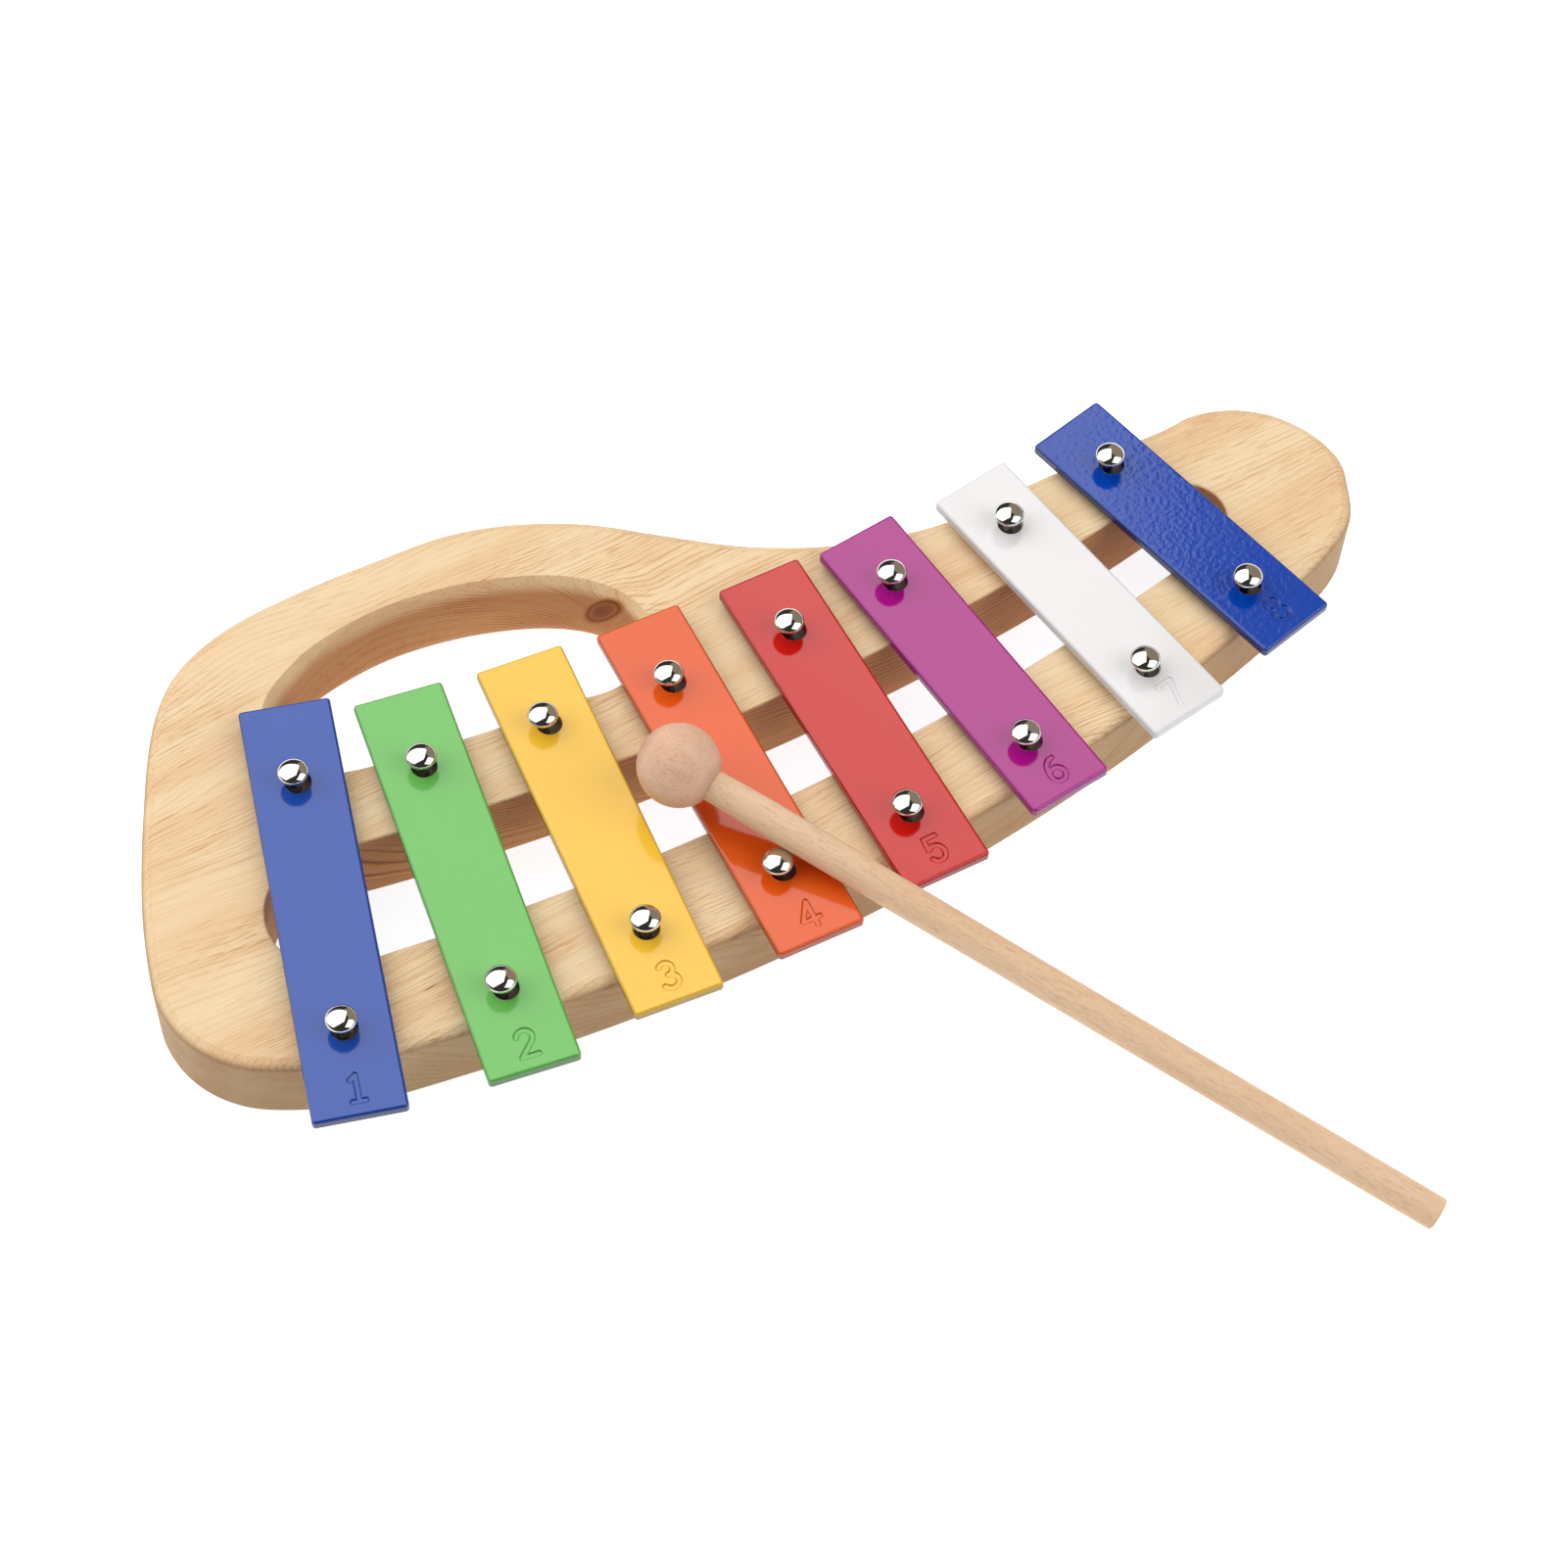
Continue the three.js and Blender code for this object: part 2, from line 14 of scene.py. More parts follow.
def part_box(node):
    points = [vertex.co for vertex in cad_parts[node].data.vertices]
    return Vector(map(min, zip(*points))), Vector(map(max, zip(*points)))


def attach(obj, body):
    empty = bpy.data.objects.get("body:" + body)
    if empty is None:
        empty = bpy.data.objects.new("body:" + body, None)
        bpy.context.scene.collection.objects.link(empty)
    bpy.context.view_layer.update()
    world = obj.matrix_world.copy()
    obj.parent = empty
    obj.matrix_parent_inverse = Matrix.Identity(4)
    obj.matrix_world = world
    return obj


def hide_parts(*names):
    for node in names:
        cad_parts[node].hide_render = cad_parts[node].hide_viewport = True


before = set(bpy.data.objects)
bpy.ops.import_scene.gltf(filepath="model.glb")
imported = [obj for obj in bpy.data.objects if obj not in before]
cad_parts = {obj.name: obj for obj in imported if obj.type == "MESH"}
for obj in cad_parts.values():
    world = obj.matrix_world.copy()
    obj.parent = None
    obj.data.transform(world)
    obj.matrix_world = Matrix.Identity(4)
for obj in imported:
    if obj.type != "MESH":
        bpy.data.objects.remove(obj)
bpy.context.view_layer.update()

# Board: one piece of pine, planed to 26 mm, sawn to its outline and sanded. The sounding slot and the hand
# hole are routed right through it, and each nail has its own blind hole. A round-over runs round the outside
# and a taller, narrower flare softens the hand hole for the fingers. Both meet the face in an edge.

MM = 0.001
BOARD_THICKNESS = 26.0
OUTER_ROUND_OVER = 3.0
OUTER_CREASE = 13.0
HAND_HOLE_FLARE = 2.4
HAND_HOLE_FLARE_HEIGHT = 6.0
HAND_HOLE_CREASE = 46.4
SLOT_EASING = 0.6
NAIL_HOLE_FLOOR = 8.0
OUTLINE_SPACING = 1.2
ROUNDING_RINGS = 7
LEVEL_SLACK = 0.002
MERGE_DISTANCE = 1e-6


class Shell:
    """The points, normals and faces of one piece, gathered ring by ring, in millimetres."""

    def __init__(self):
        self.points = []
        self.normals = []
        self.faces = []

    def ring(self, points, normals):
        """Adds a ring of points with their normals, and returns their numbers."""
        first = len(self.points)
        self.points.extend(tuple(float(c) for c in point) for point in points)
        self.normals.extend(tuple(float(c) for c in normal) for normal in normals)
        return list(range(first, len(self.points)))

    def join(self, lower, upper):
        """Faces between two rings that run anticlockwise, seen along the way from the first to the second."""
        for i in range(len(lower)):
            after = (i + 1) % len(lower)
            self.faces.append((lower[i], lower[after], upper[after], upper[i]))

    def piece(self, name, material, place):
        """Makes the shell a piece of the scene, in one material."""
        mesh = bpy.data.meshes.new(name)
        mesh.from_pydata([(x * MM, y * MM, z * MM) for x, y, z in self.points], [], self.faces)
        mesh.polygons.foreach_set("use_smooth", [True] * len(mesh.polygons))
        mesh.normals_split_custom_set_from_vertices(self.normals)
        mesh.materials.append(material)
        made = bpy.data.objects.new(name, mesh)
        made.matrix_world = place
        bpy.context.scene.collection.objects.link(made)
        return made


def level_loops(node, height):
    """The closed loops round a solid's level face at a height in millimetres, the widest first."""
    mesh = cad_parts[node].data
    spots = [tuple(round(c / MM, 3) for c in vertex.co) for vertex in mesh.vertices]
    border = set()
    for face in mesh.polygons:
        corners = [spots[i] for i in face.vertices]
        if all(abs(corner[2] - height) < LEVEL_SLACK for corner in corners):
            for start, end in zip(corners, corners[1:] + corners[:1]):
                if (end, start) in border:
                    border.remove((end, start))
                else:
                    border.add((start, end))
    following = dict(border)
    loops = []
    while following:
        first, spot = following.popitem()
        loop = [first]
        while spot != first:
            loop.append(spot)
            spot = following.pop(spot)
        loops.append(np.array(loop)[:, :2])
    return sorted(loops, key=lambda loop: -np.ptp(loop, axis=0).max())


def smoothed(corners, spacing):
    """A smooth closed curve through the corners of a loop, in sides of about a given length."""
    line = np.vstack([corners[-1:], corners, corners[:2]])
    points = []
    for before, start, end, after in zip(line, line[1:], line[2:], line[3:]):
        sides = (start - before, end - start, after - end)
        lead, span, trail = (math.sqrt(np.linalg.norm(side)) for side in sides)
        out = span * ((start - before) / lead - (end - before) / (lead + span) + (end - start) / span)
        back = span * ((end - start) / span - (after - start) / (span + trail) + (after - end) / trail)
        steps = max(1, round(np.linalg.norm(end - start) / spacing))
        for share in np.arange(steps) / steps:
            square, cube = share**2, share**3
            points.append(
                (2 * cube - 3 * square + 1) * start
                + (cube - 2 * square + share) * out
                + (3 * square - 2 * cube) * end
                + (cube - square) * back
            )
    return np.array(points)


def away_from(loop):
    """At each point of a loop that has the material on its left, the direction out of the material."""
    along = np.roll(loop, -1, axis=0) - np.roll(loop, 1, axis=0)
    along /= np.linalg.norm(along, axis=1)[:, None]
    return np.stack([along[:, 1], -along[:, 0]], axis=1)


def inside(points, loop):
    """Which points of the plan lie inside a loop."""
    x, y = points.T
    found = np.zeros(len(points), bool)
    for (ax, ay), (bx, by) in zip(loop, np.roll(loop, -1, axis=0)):
        if ay != by:
            found ^= ((ay > y) != (by > y)) & (x < (bx - ax) * (y - ay) / (by - ay) + ax)
    return found


def level_triangles(loops, extra):
    """Triangles over the area inside the first loop and outside the others, through extra points too. Their
    corners are numbered through all the points."""
    sides = []
    start = 0
    for loop in loops:
        sides += [(start + i, start + (i + 1) % len(loop)) for i in range(len(loop))]
        start += len(loop)
    points = [Vector(point) for point in np.vstack([*loops, extra])]
    spots, _, triangles, origins, _, _ = geometry.delaunay_2d_cdt(points, sides, [], 1, MERGE_DISTANCE)
    middles = np.array([np.mean([spots[i][:] for i in triangle], axis=0) for triangle in triangles])
    kept = inside(middles, loops[0])
    for hole in loops[1:]:
        kept &= ~inside(middles, hole)
    return [tuple(origins[i][0] for i in triangle) for triangle, keep in zip(triangles, kept) if keep]


def cover(shell, rings, up, extra=np.empty((0, 2)), extra_numbers=()):
    """Closes a level face that looks up or down between its rings, each given with its plan."""
    numbers = [i for ring, _ in rings for i in ring] + list(extra_numbers)
    for triangle in level_triangles([plan for _, plan in rings], extra):
        corners = [numbers[i] for i in triangle]
        a, b, c = (shell.points[i] for i in corners)
        if ((b[0] - a[0]) * (c[1] - a[1]) > (b[1] - a[1]) * (c[0] - a[0])) != up:
            corners.reverse()
        shell.faces.append(tuple(corners))


def raised(plan, height):
    """Plan points as points at a height, or plan directions with that much rise."""
    return np.column_stack([plan, np.full(len(plan), height)])


def rounded_wall(shell, edge, out, bottom, top, lower_radius, upper_radius, squeeze=1.0, crease=0.0):
    """A wall between two level faces, rounded at both. The upper face ends at the edge, and the lower one
    where the same wall meets it. A squeeze below one makes the rounding that much narrower than it is high.
    A crease is the angle in degrees by which it falls short of level, as a cutter set too deep leaves it.
    Returns the rings that lie in the two faces, and their plans."""
    last = math.radians(90 - crease)
    angles = np.linspace(0, last, ROUNDING_RINGS)
    rings = []
    plans = []
    for radius, start, turn in (
        (lower_radius, bottom + lower_radius, -1),
        (upper_radius, top - upper_radius, 1),
    ):
        for angle in angles[::turn]:
            across = (math.cos(angle) - math.cos(last)) / (1 - math.cos(last))
            up = math.sin(angle) / math.sin(last)
            lean = squeeze * math.sin(angle) / (1 - math.cos(last))
            normals = raised(out * math.cos(angle) / math.sin(last), turn * lean)
            normals /= np.linalg.norm(normals, axis=1)[:, None]
            plan = edge + out * squeeze * (upper_radius - radius + radius * across)
            rings.append(shell.ring(raised(plan, start + turn * radius * up), normals))
            plans.append(plan)
    for lower, upper in zip(rings, rings[1:]):
        shell.join(lower, upper)
    if crease:
        level = raised(out * 0, 1)
        rings = [shell.ring(raised(plans[0], bottom), -level), shell.ring(raised(plans[-1], top), level)]
    return (rings[0], plans[0]), (rings[-1], plans[-1])


def board_shell():
    """The board's shell, and which of its faces the router cut."""
    outer, slot, hand_hole, *nail_holes = level_loops("board", BOARD_THICKNESS)
    shell = Shell()
    faces_below = []
    faces_above = []
    # The solid's face already ends where the outside and the hand hole start to round. The slot's edge is
    # sharp in the solid, so there the face draws back by the easing.
    for loop, moved, radius, squeeze, crease in (
        (outer, 0, OUTER_ROUND_OVER, 1, OUTER_CREASE),
        (slot, -SLOT_EASING, SLOT_EASING, 1, 0),
        (hand_hole, 0, HAND_HOLE_FLARE_HEIGHT, HAND_HOLE_FLARE / HAND_HOLE_FLARE_HEIGHT, HAND_HOLE_CREASE),
    ):
        edge = smoothed(loop, OUTLINE_SPACING)
        out = away_from(edge)
        edge = edge + out * moved
        below, above = rounded_wall(shell, edge, out, 0, BOARD_THICKNESS, radius, radius, squeeze, crease)
        faces_below.append(below)
        faces_above.append(above)
        if loop is outer:
            first_routed = len(shell.faces)
    routed = range(first_routed, len(shell.faces))
    for loop in nail_holes:
        out = away_from(loop)
        mouth = shell.ring(raised(loop, BOARD_THICKNESS), raised(out * 0, 1))
        floor = shell.ring(raised(loop, NAIL_HOLE_FLOOR), raised(out, 0))
        shell.join(floor, shell.ring(raised(loop, BOARD_THICKNESS), raised(out, 0)))
        shell.faces.append(tuple(reversed(shell.ring(raised(loop, NAIL_HOLE_FLOOR), raised(out * 0, 1)))))
        faces_above.append((mouth, loop))
    cover(shell, faces_below, False)
    cover(shell, faces_above, True)
    return shell, routed


def linear(colour):
    """An sRGB hex colour as linear red, green, blue and alpha."""
    shares = [int(colour[i : i + 2], 16) / 255 for i in (1, 3, 5)]
    return (*(s / 12.92 if s <= 0.04045 else ((s + 0.055) / 1.055) ** 2.4 for s in shares), 1.0)


def add_node(material, kind, settings):
    """Adds a shader node. A setting is one of the node's own properties, the stops of its ramp, or an input.
    An input is given a number, a colour or a vector, or the node and the output that feed it."""
    made = material.node_tree.nodes.new(kind)
    for name, value in settings.items():
        if name == "stops":
            for place, colour in value[1:-1]:
                made.color_ramp.elements.new(place).color = linear(colour)
            for i, (place, colour) in ((0, value[0]), (-1, value[-1])):
                made.color_ramp.elements[i].position = place
                made.color_ramp.elements[i].color = linear(colour)
        elif isinstance(name, str) and name in made.bl_rna.properties:
            setattr(made, name, value)
        elif isinstance(value, tuple) and isinstance(value[0], bpy.types.Node):
            source, output = value
            material.node_tree.links.new(source.outputs[output], made.inputs[name])
        else:
            made.inputs[name].default_value = value
    return made


def new_material(name):
    """A material that has no nodes yet."""
    material = bpy.data.materials.new(name)
    material.use_nodes = True
    material.node_tree.nodes.clear()
    return material


# Pine, bare. The sapwood is a pale cream with broad warmer streaks, and the growth rings show as soft tawny
# lines. Finer rings show as brown dashes on the face, where sanding broke their lines up, and as whole lines
# on a wall. Walls and rounded edges are darker: partly the ends of the fibres, partly painted shade. Rounded
# edges are also a little fuzzy. One brown knot shows in the wall of the hand hole.
GRAIN_TURN = -4.0
# The pith and the knot are placed in a frame that is turned about +Z with the grain.
PITH = (0.0, 105.0, -60.0)
RING_WIDTH = 3.4
FINE_RING_WIDTH = 0.9
RING_WANDER = 22.0
RING_CHANGE_ALONG = 0.02
YEAR_SCALE = 0.37
YEAR_SPREAD = 2.4
FINE_YEAR_SPREAD = 5.0
KNOT = (-22.7, 38.4, 17.9)
KNOT_RADIUS = 3.5
KNOT_RIM = 1.2
KNOT_SWELLING = 3.2
KNOT_SWELLING_REACH = 17.0
HAIR_DEPTH = 0.05
# Each pattern's length along the grain and width across it in millimetres, and its finer detail. Real hairs
# are 0.2 mm wide and torn fibres finer still: both are drawn coarser, so that they show.
GRAIN_PATTERNS = {
    "wander": (120, 50, 1.0),
    "ring_zones": (90, 24, 1.0),
    "streaks": (75, 11, 2.0),
    "hair_zones": (48, 16, 1.0),
    "resin_dashes": (11, 0.8, 1.0),
    "hairs": (9, 0.36, 1.0),
    "sanded_dashes": (6, 0.8, 1.0),
    "nap": (0.8, 0.35, 1.0),
}
# A Mix node's share and two colours among its inputs, and its colour among its outputs.
SHARE, COLOUR_A, COLOUR_B, COLOUR_OUT = 0, 6, 7, 2


def bare_pine(name, wall_grain_and_shade_colour, wall_slope, face_lines, wall_lines, torn_share):
    """Pine with a darker tint on its walls, partly end grain and partly painted shade, in full where the
    surface looks up by no more than wall_slope. Its lines have one strength on the face and another on the
    walls, and its roundings a share of torn fibres."""
    pine = new_material(name)
    place = add_node(pine, "ShaderNodeTexCoord", {})
    facing = add_node(pine, "ShaderNodeSeparateXYZ", {"Vector": (place, "Normal")})
    grain = add_node(
        pine,
        "ShaderNodeMapping",
        {
            "Vector": (place, "Object"),
            "Scale": (1 / MM, 1 / MM, 1 / MM),
            "Rotation": (0, 0, math.radians(GRAIN_TURN)),
        },
    )
    noises = {}
    for pattern, (length, width, detail) in GRAIN_PATTERNS.items():
        stretched = add_node(
            pine,
            "ShaderNodeVectorMath",
            {"operation": "MULTIPLY", 0: (grain, "Vector"), 1: (1 / length, 1 / width, 1 / width)},
        )
        noises[pattern] = add_node(
            pine,
            "ShaderNodeTexNoise",
            {"Vector": (stretched, "Vector"), "Scale": 1.0, "Detail": detail, "Roughness": 0.55},
        )

    # The trunk wasn't quite straight: the rings wander by some millimetres over a hand's width.
    middle = [-side - RING_WANDER / 2 for side in PITH[1:]]
    shift = add_node(
        pine,
        "ShaderNodeVectorMath",
        {
            "operation": "MULTIPLY_ADD",
            0: (noises["wander"], "Color"),
            1: (0, RING_WANDER, RING_WANDER),
            2: (0, *middle),
        },
    )
    from_pith = add_node(
        pine, "ShaderNodeVectorMath", {"operation": "ADD", 0: (grain, "Vector"), 1: (shift, "Vector")}
    )
    across = add_node(
        pine,
        "ShaderNodeVectorMath",
        {"operation": "MULTIPLY", 0: (from_pith, "Vector"), 1: (RING_CHANGE_ALONG, 1, 1)},
    )
    radius = add_node(pine, "ShaderNodeVectorMath", {"operation": "LENGTH", 0: (across, "Vector")})

    # The knot is a branch that ran outwards from the pith. The rings bulge round it.
    branch = Vector((0, KNOT[1] - PITH[1], KNOT[2] - PITH[2])).normalized()
    to_knot = add_node(
        pine, "ShaderNodeVectorMath", {"operation": "SUBTRACT", 0: (grain, "Vector"), 1: KNOT}
    )
    along = add_node(
        pine, "ShaderNodeVectorMath", {"operation": "DOT_PRODUCT", 0: (to_knot, "Vector"), 1: branch}
    )
    on_branch = add_node(
        pine, "ShaderNodeVectorMath", {"operation": "SCALE", 0: branch, "Scale": (along, "Value")}
    )
    off_branch = add_node(
        pine,
        "ShaderNodeVectorMath",
        {"operation": "SUBTRACT", 0: (to_knot, "Vector"), 1: (on_branch, "Vector")},
    )
    beside = add_node(pine, "ShaderNodeVectorMath", {"operation": "LENGTH", 0: (off_branch, "Vector")})
    swelling = add_node(
        pine,
        "ShaderNodeMapRange",
        {
            "interpolation_type": "SMOOTHERSTEP",
            "Value": (beside, "Value"),
            "From Min": KNOT_SWELLING_REACH,
            "From Max": 0.0,
            "To Max": KNOT_SWELLING,
        },
    )
    bulged = add_node(
        pine, "ShaderNodeMath", {"operation": "ADD", 0: (radius, "Value"), 1: (swelling, "Result")}
    )

    # Dry years and wet ones: the rings aren't equally wide. They are clear in some places, faint in others.
    rings = add_node(
        pine, "ShaderNodeMath", {"operation": "DIVIDE", 0: (bulged, "Value"), 1: RING_WIDTH}
    )
    year = add_node(
        pine,
        "ShaderNodeTexNoise",
        {"noise_dimensions": "1D", "W": (rings, "Value"), "Scale": YEAR_SCALE, "Detail": 1.0},
    )
    uneven = add_node(
        pine,
        "ShaderNodeMath",
        {"operation": "MULTIPLY_ADD", 0: (year, "Fac"), 1: YEAR_SPREAD, 2: (rings, "Value")},
    )
    within = add_node(pine, "ShaderNodeMath", {"operation": "FRACT", 0: (uneven, "Value")})
    late_wood = add_node(
        pine,
        "ShaderNodeValToRGB",
        {
            "Fac": (within, "Value"),
            "stops": [
                (0.0, "#707070"),
                (0.14, "#000000"),
                (0.45, "#0c0c0c"),
                (0.82, "#9a9a9a"),
                (0.92, "#ffffff"),
                (1.0, "#707070"),
            ],
        },
    )
    clearness = add_node(
        pine,
        "ShaderNodeMapRange",
        {
            "Value": (noises["ring_zones"], "Fac"),
            "From Min": 0.45,
            "From Max": 0.7,
            "To Min": 0.05,
            "To Max": 0.42,
        },
    )
    ring_share = add_node(
        pine, "ShaderNodeMath", {"operation": "MULTIPLY", 0: (late_wood, "Color"), 1: (clearness, "Result")}
    )
    sapwood = add_node(
        pine,
        "ShaderNodeValToRGB",
        {
            "Fac": (noises["streaks"], "Fac"),
            "stops": [(0.36, "#f5dbb2"), (0.5, "#f3d5aa"), (0.64, "#efcba0")],
        },
    )

    # Slow growth left finer rings in between. Sanding broke their lines into dashes on the face. On an
    # upright wall the lines are whole, and they stand out more or less than on the face.
    fine_rings = add_node(
        pine, "ShaderNodeMath", {"operation": "DIVIDE", 0: (bulged, "Value"), 1: FINE_RING_WIDTH}
    )
    fine_uneven = add_node(
        pine,
        "ShaderNodeMath",
        {"operation": "MULTIPLY_ADD", 0: (year, "Fac"), 1: FINE_YEAR_SPREAD, 2: (fine_rings, "Value")},
    )
    fine_within = add_node(pine, "ShaderNodeMath", {"operation": "FRACT", 0: (fine_uneven, "Value")})
    fine_late_wood = add_node(
        pine,
        "ShaderNodeValToRGB",
        {
            "Fac": (fine_within, "Value"),
            "stops": [
                (0.0, "#606060"),
                (0.12, "#000000"),
                (0.6, "#000000"),
                (0.82, "#ffffff"),
                (1.0, "#606060"),
            ],
        },
    )
    dashes = add_node(
        pine,
        "ShaderNodeMapRange",
        {
            "Value": (noises["sanded_dashes"], "Fac"),
            "From Min": 0.38,
            "From Max": 0.54,
            "To Min": 0.1,
            "To Max": 1.0,
        },
    )
    upright = add_node(
        pine, "ShaderNodeMapRange", {"Value": (facing, "Z"), "From Min": 0.5, "From Max": 0.15}
    )
    whole = add_node(
        pine, "ShaderNodeMath", {"operation": "MAXIMUM", 0: (dashes, "Result"), 1: (upright, "Result")}
    )
    hair_zone = add_node(
        pine,
        "ShaderNodeMapRange",
        {
            "Value": (noises["hair_zones"], "Fac"),
            "From Min": 0.36,
            "From Max": 0.62,
            "To Min": 0.3,
            "To Max": 1.0,
        },
    )
    zoned = add_node(
        pine, "ShaderNodeMath", {"operation": "MULTIPLY", 0: (whole, "Value"), 1: (hair_zone, "Result")}
    )
    lines = add_node(
        pine, "ShaderNodeMath", {"operation": "MULTIPLY", 0: (fine_late_wood, "Color"), 1: (zoned, "Value")}
    )
    strength = add_node(
        pine,
        "ShaderNodeMath",
        {"operation": "MULTIPLY_ADD", 0: (upright, "Result"), 1: wall_lines - face_lines, 2: face_lines},
    )
    line_share = add_node(
        pine, "ShaderNodeMath", {"operation": "MULTIPLY", 0: (lines, "Value"), 1: (strength, "Value")}
    )

    # Brown hairs and dashes: pores, and ducts full of resin.
    hair_tint = add_node(
        pine,
        "ShaderNodeValToRGB",
        {"Fac": (noises["hairs"], "Fac"), "stops": [(0.24, "#dfc19c"), (0.42, "#ffffff")]},
    )
    resin_tint = add_node(
        pine,
        "ShaderNodeValToRGB",
        {
            "Fac": (noises["resin_dashes"], "Fac"),
            "stops": [(0.0, "#94683f"), (0.17, "#94683f"), (0.21, "#ffffff")],
        },
    )

    # Where an edge was rounded, the cutter and the paper tore the fibres up a little.
    rounding = add_node(
        pine,
        "ShaderNodeValToRGB",
        {
            "Fac": (facing, "Z"),
            "stops": [
                (0.1, "#000000"),
                (0.4, "#a0a0a0"),
                (0.8, "#ffffff"),
                (0.985, "#ffffff"),
                (0.995, "#000000"),
            ],
        },
    )
    torn = add_node(
        pine, "ShaderNodeMath", {"operation": "MULTIPLY", 0: (rounding, "Color"), 1: torn_share}
    )
    nap_tint = add_node(
        pine,
        "ShaderNodeValToRGB",
        {"Fac": (noises["nap"], "Fac"), "stops": [(0.3, "#d3b08a"), (0.6, "#fbf3e8")]},
    )

    # A sawn or routed wall shows the ends of the fibres, which are darker, and it is darkened further with
    # painted shade, as if little light reached it.
    wall_grain_and_shade = add_node(
        pine,
        "ShaderNodeValToRGB",
        {"Fac": (facing, "Z"), "stops": [(wall_slope, wall_grain_and_shade_colour), (wall_slope + 0.4, "#ffffff")]},
    )
    knot_share = add_node(
        pine,
        "ShaderNodeMapRange",
        {
            "interpolation_type": "SMOOTHSTEP",
            "Value": (beside, "Value"),
            "From Min": KNOT_RADIUS + KNOT_RIM,
            "From Max": KNOT_RADIUS - KNOT_RIM / 2,
        },
    )
    from_heart = add_node(
        pine, "ShaderNodeMapRange", {"Value": (beside, "Value"), "From Max": KNOT_RADIUS + KNOT_RIM}
    )
    knot_tint = add_node(
        pine,
        "ShaderNodeValToRGB",
        {
            "Fac": (from_heart, "Result"),
            "stops": [
                (0.0, "#7e3c0c"),
                (0.35, "#8e4b16"),
                (0.5, "#a8662c"),
                (0.6, "#7c3c0c"),
                (0.8, "#b4763a"),
                (1.0, "#cc9456"),
            ],
        },
    )

    shade = (sapwood, "Color")
    for blend, share, tint in (
        ("MIX", (ring_share, "Value"), linear("#d29b63")),
        ("MULTIPLY", (line_share, "Value"), linear("#b98758")),
        ("MULTIPLY", (hair_zone, "Result"), (hair_tint, "Color")),
        ("MULTIPLY", (hair_zone, "Result"), (resin_tint, "Color")),
        ("MULTIPLY", (torn, "Value"), (nap_tint, "Color")),
        # The walls' tint: partly end grain, partly painted shade.
        ("MULTIPLY", 1.0, (wall_grain_and_shade, "Color")),
        ("MIX", (knot_share, "Result"), (knot_tint, "Color")),
    ):
        laid = add_node(
            pine,
            "ShaderNodeMix",
            {"data_type": "RGBA", "blend_type": blend, SHARE: share, COLOUR_A: shade, COLOUR_B: tint},
        )
        shade = (laid, COLOUR_OUT)
    bump = add_node(
        pine,
        "ShaderNodeBump",
        {"Height": (noises["hairs"], "Fac"), "Strength": 0.5, "Distance": HAIR_DEPTH * MM},
    )
    surface = add_node(
        pine,
        "ShaderNodeBsdfPrincipled",
        {"Base Color": shade, "Normal": (bump, "Normal"), "Roughness": 0.6, "Specular IOR Level": 0.2},
    )
    add_node(pine, "ShaderNodeOutputMaterial", {"Surface": (surface, "BSDF")})
    return pine


# The outside was sanded, and its walls carry painted shade. The walls of the slot and the hand hole were cut
# by the router and show clearer lines. Their browner tint is partly end grain and partly painted shade of the
# deep cavities.
sanded_pine = bare_pine("sanded_pine", "#bbae9f", 0.45, 0.5, 0.26, 0.3)
routed_pine = bare_pine("routed_pine", "#d6b593", 0.03, 0.1, 1.1, 0.4)
board_faces, routed_faces = board_shell()
board = board_faces.piece("pine_board", sanded_pine, Matrix.Identity(4))
board.data.materials.append(routed_pine)
for i in routed_faces:
    board.data.polygons[i].material_index = 1
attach(board, "base")
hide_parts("board")

# Felt washers: rings of pressed wool felt, 2.5 mm thick, one round each nail. They hold a bar off the wood at
# its two still points, so that it can ring. They lie loose on the board, hidden under the bars.

NOTES = ("c_low", "d", "e", "f", "g", "a", "b", "c_high")
ENDS = ("far", "near")
FELT_THICKNESS = 2.5
FELT_BORE_RADIUS = 1.7
FELT_EASING = 0.3
FELT_SIDES = 48
FELT_NAP = 0.25
FELT_NAP_DEPTH = 0.15


def turned_shell(runs, sides):
    """A shell turned round +Z. Each run is a line of radii and heights that is smooth along its length, and
    the turned piece has an edge where one run ends and the next starts."""
    shell = Shell()
    angles = 2 * math.pi * np.arange(sides) / sides
    spokes = np.stack([np.cos(angles), np.sin(angles)], axis=1)
    for run in runs:
        line = np.array(run, float)
        before = np.vstack([line[:1], line[:-1]])
        after = np.vstack([line[1:], line[-1:]])
        along = (after - before) / np.linalg.norm(after - before, axis=1)[:, None]
        rings = []
        for (radius, height), (outwards, upwards) in zip(line, along):
            if radius == 0:
                rings.append(shell.ring([(0, 0, height)], [(0, 0, 1 if outwards < 0 else -1)]))
            else:
                rings.append(shell.ring(raised(spokes * radius, height), raised(spokes * upwards, -outwards)))
        for lower, upper in zip(rings, rings[1:]):
            if len(lower) == 1:
                shell.faces += [(lower[0], upper[(i + 1) % sides], upper[i]) for i in range(sides)]
            elif len(upper) == 1:
                shell.faces += [(lower[i], lower[(i + 1) % sides], upper[0]) for i in range(sides)]
            else:
                shell.join(lower, upper)
    return shell


def middle_of(node):
    """The middle of a solid's box, in metres."""
    low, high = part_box(node)
    return (low + high) / 2
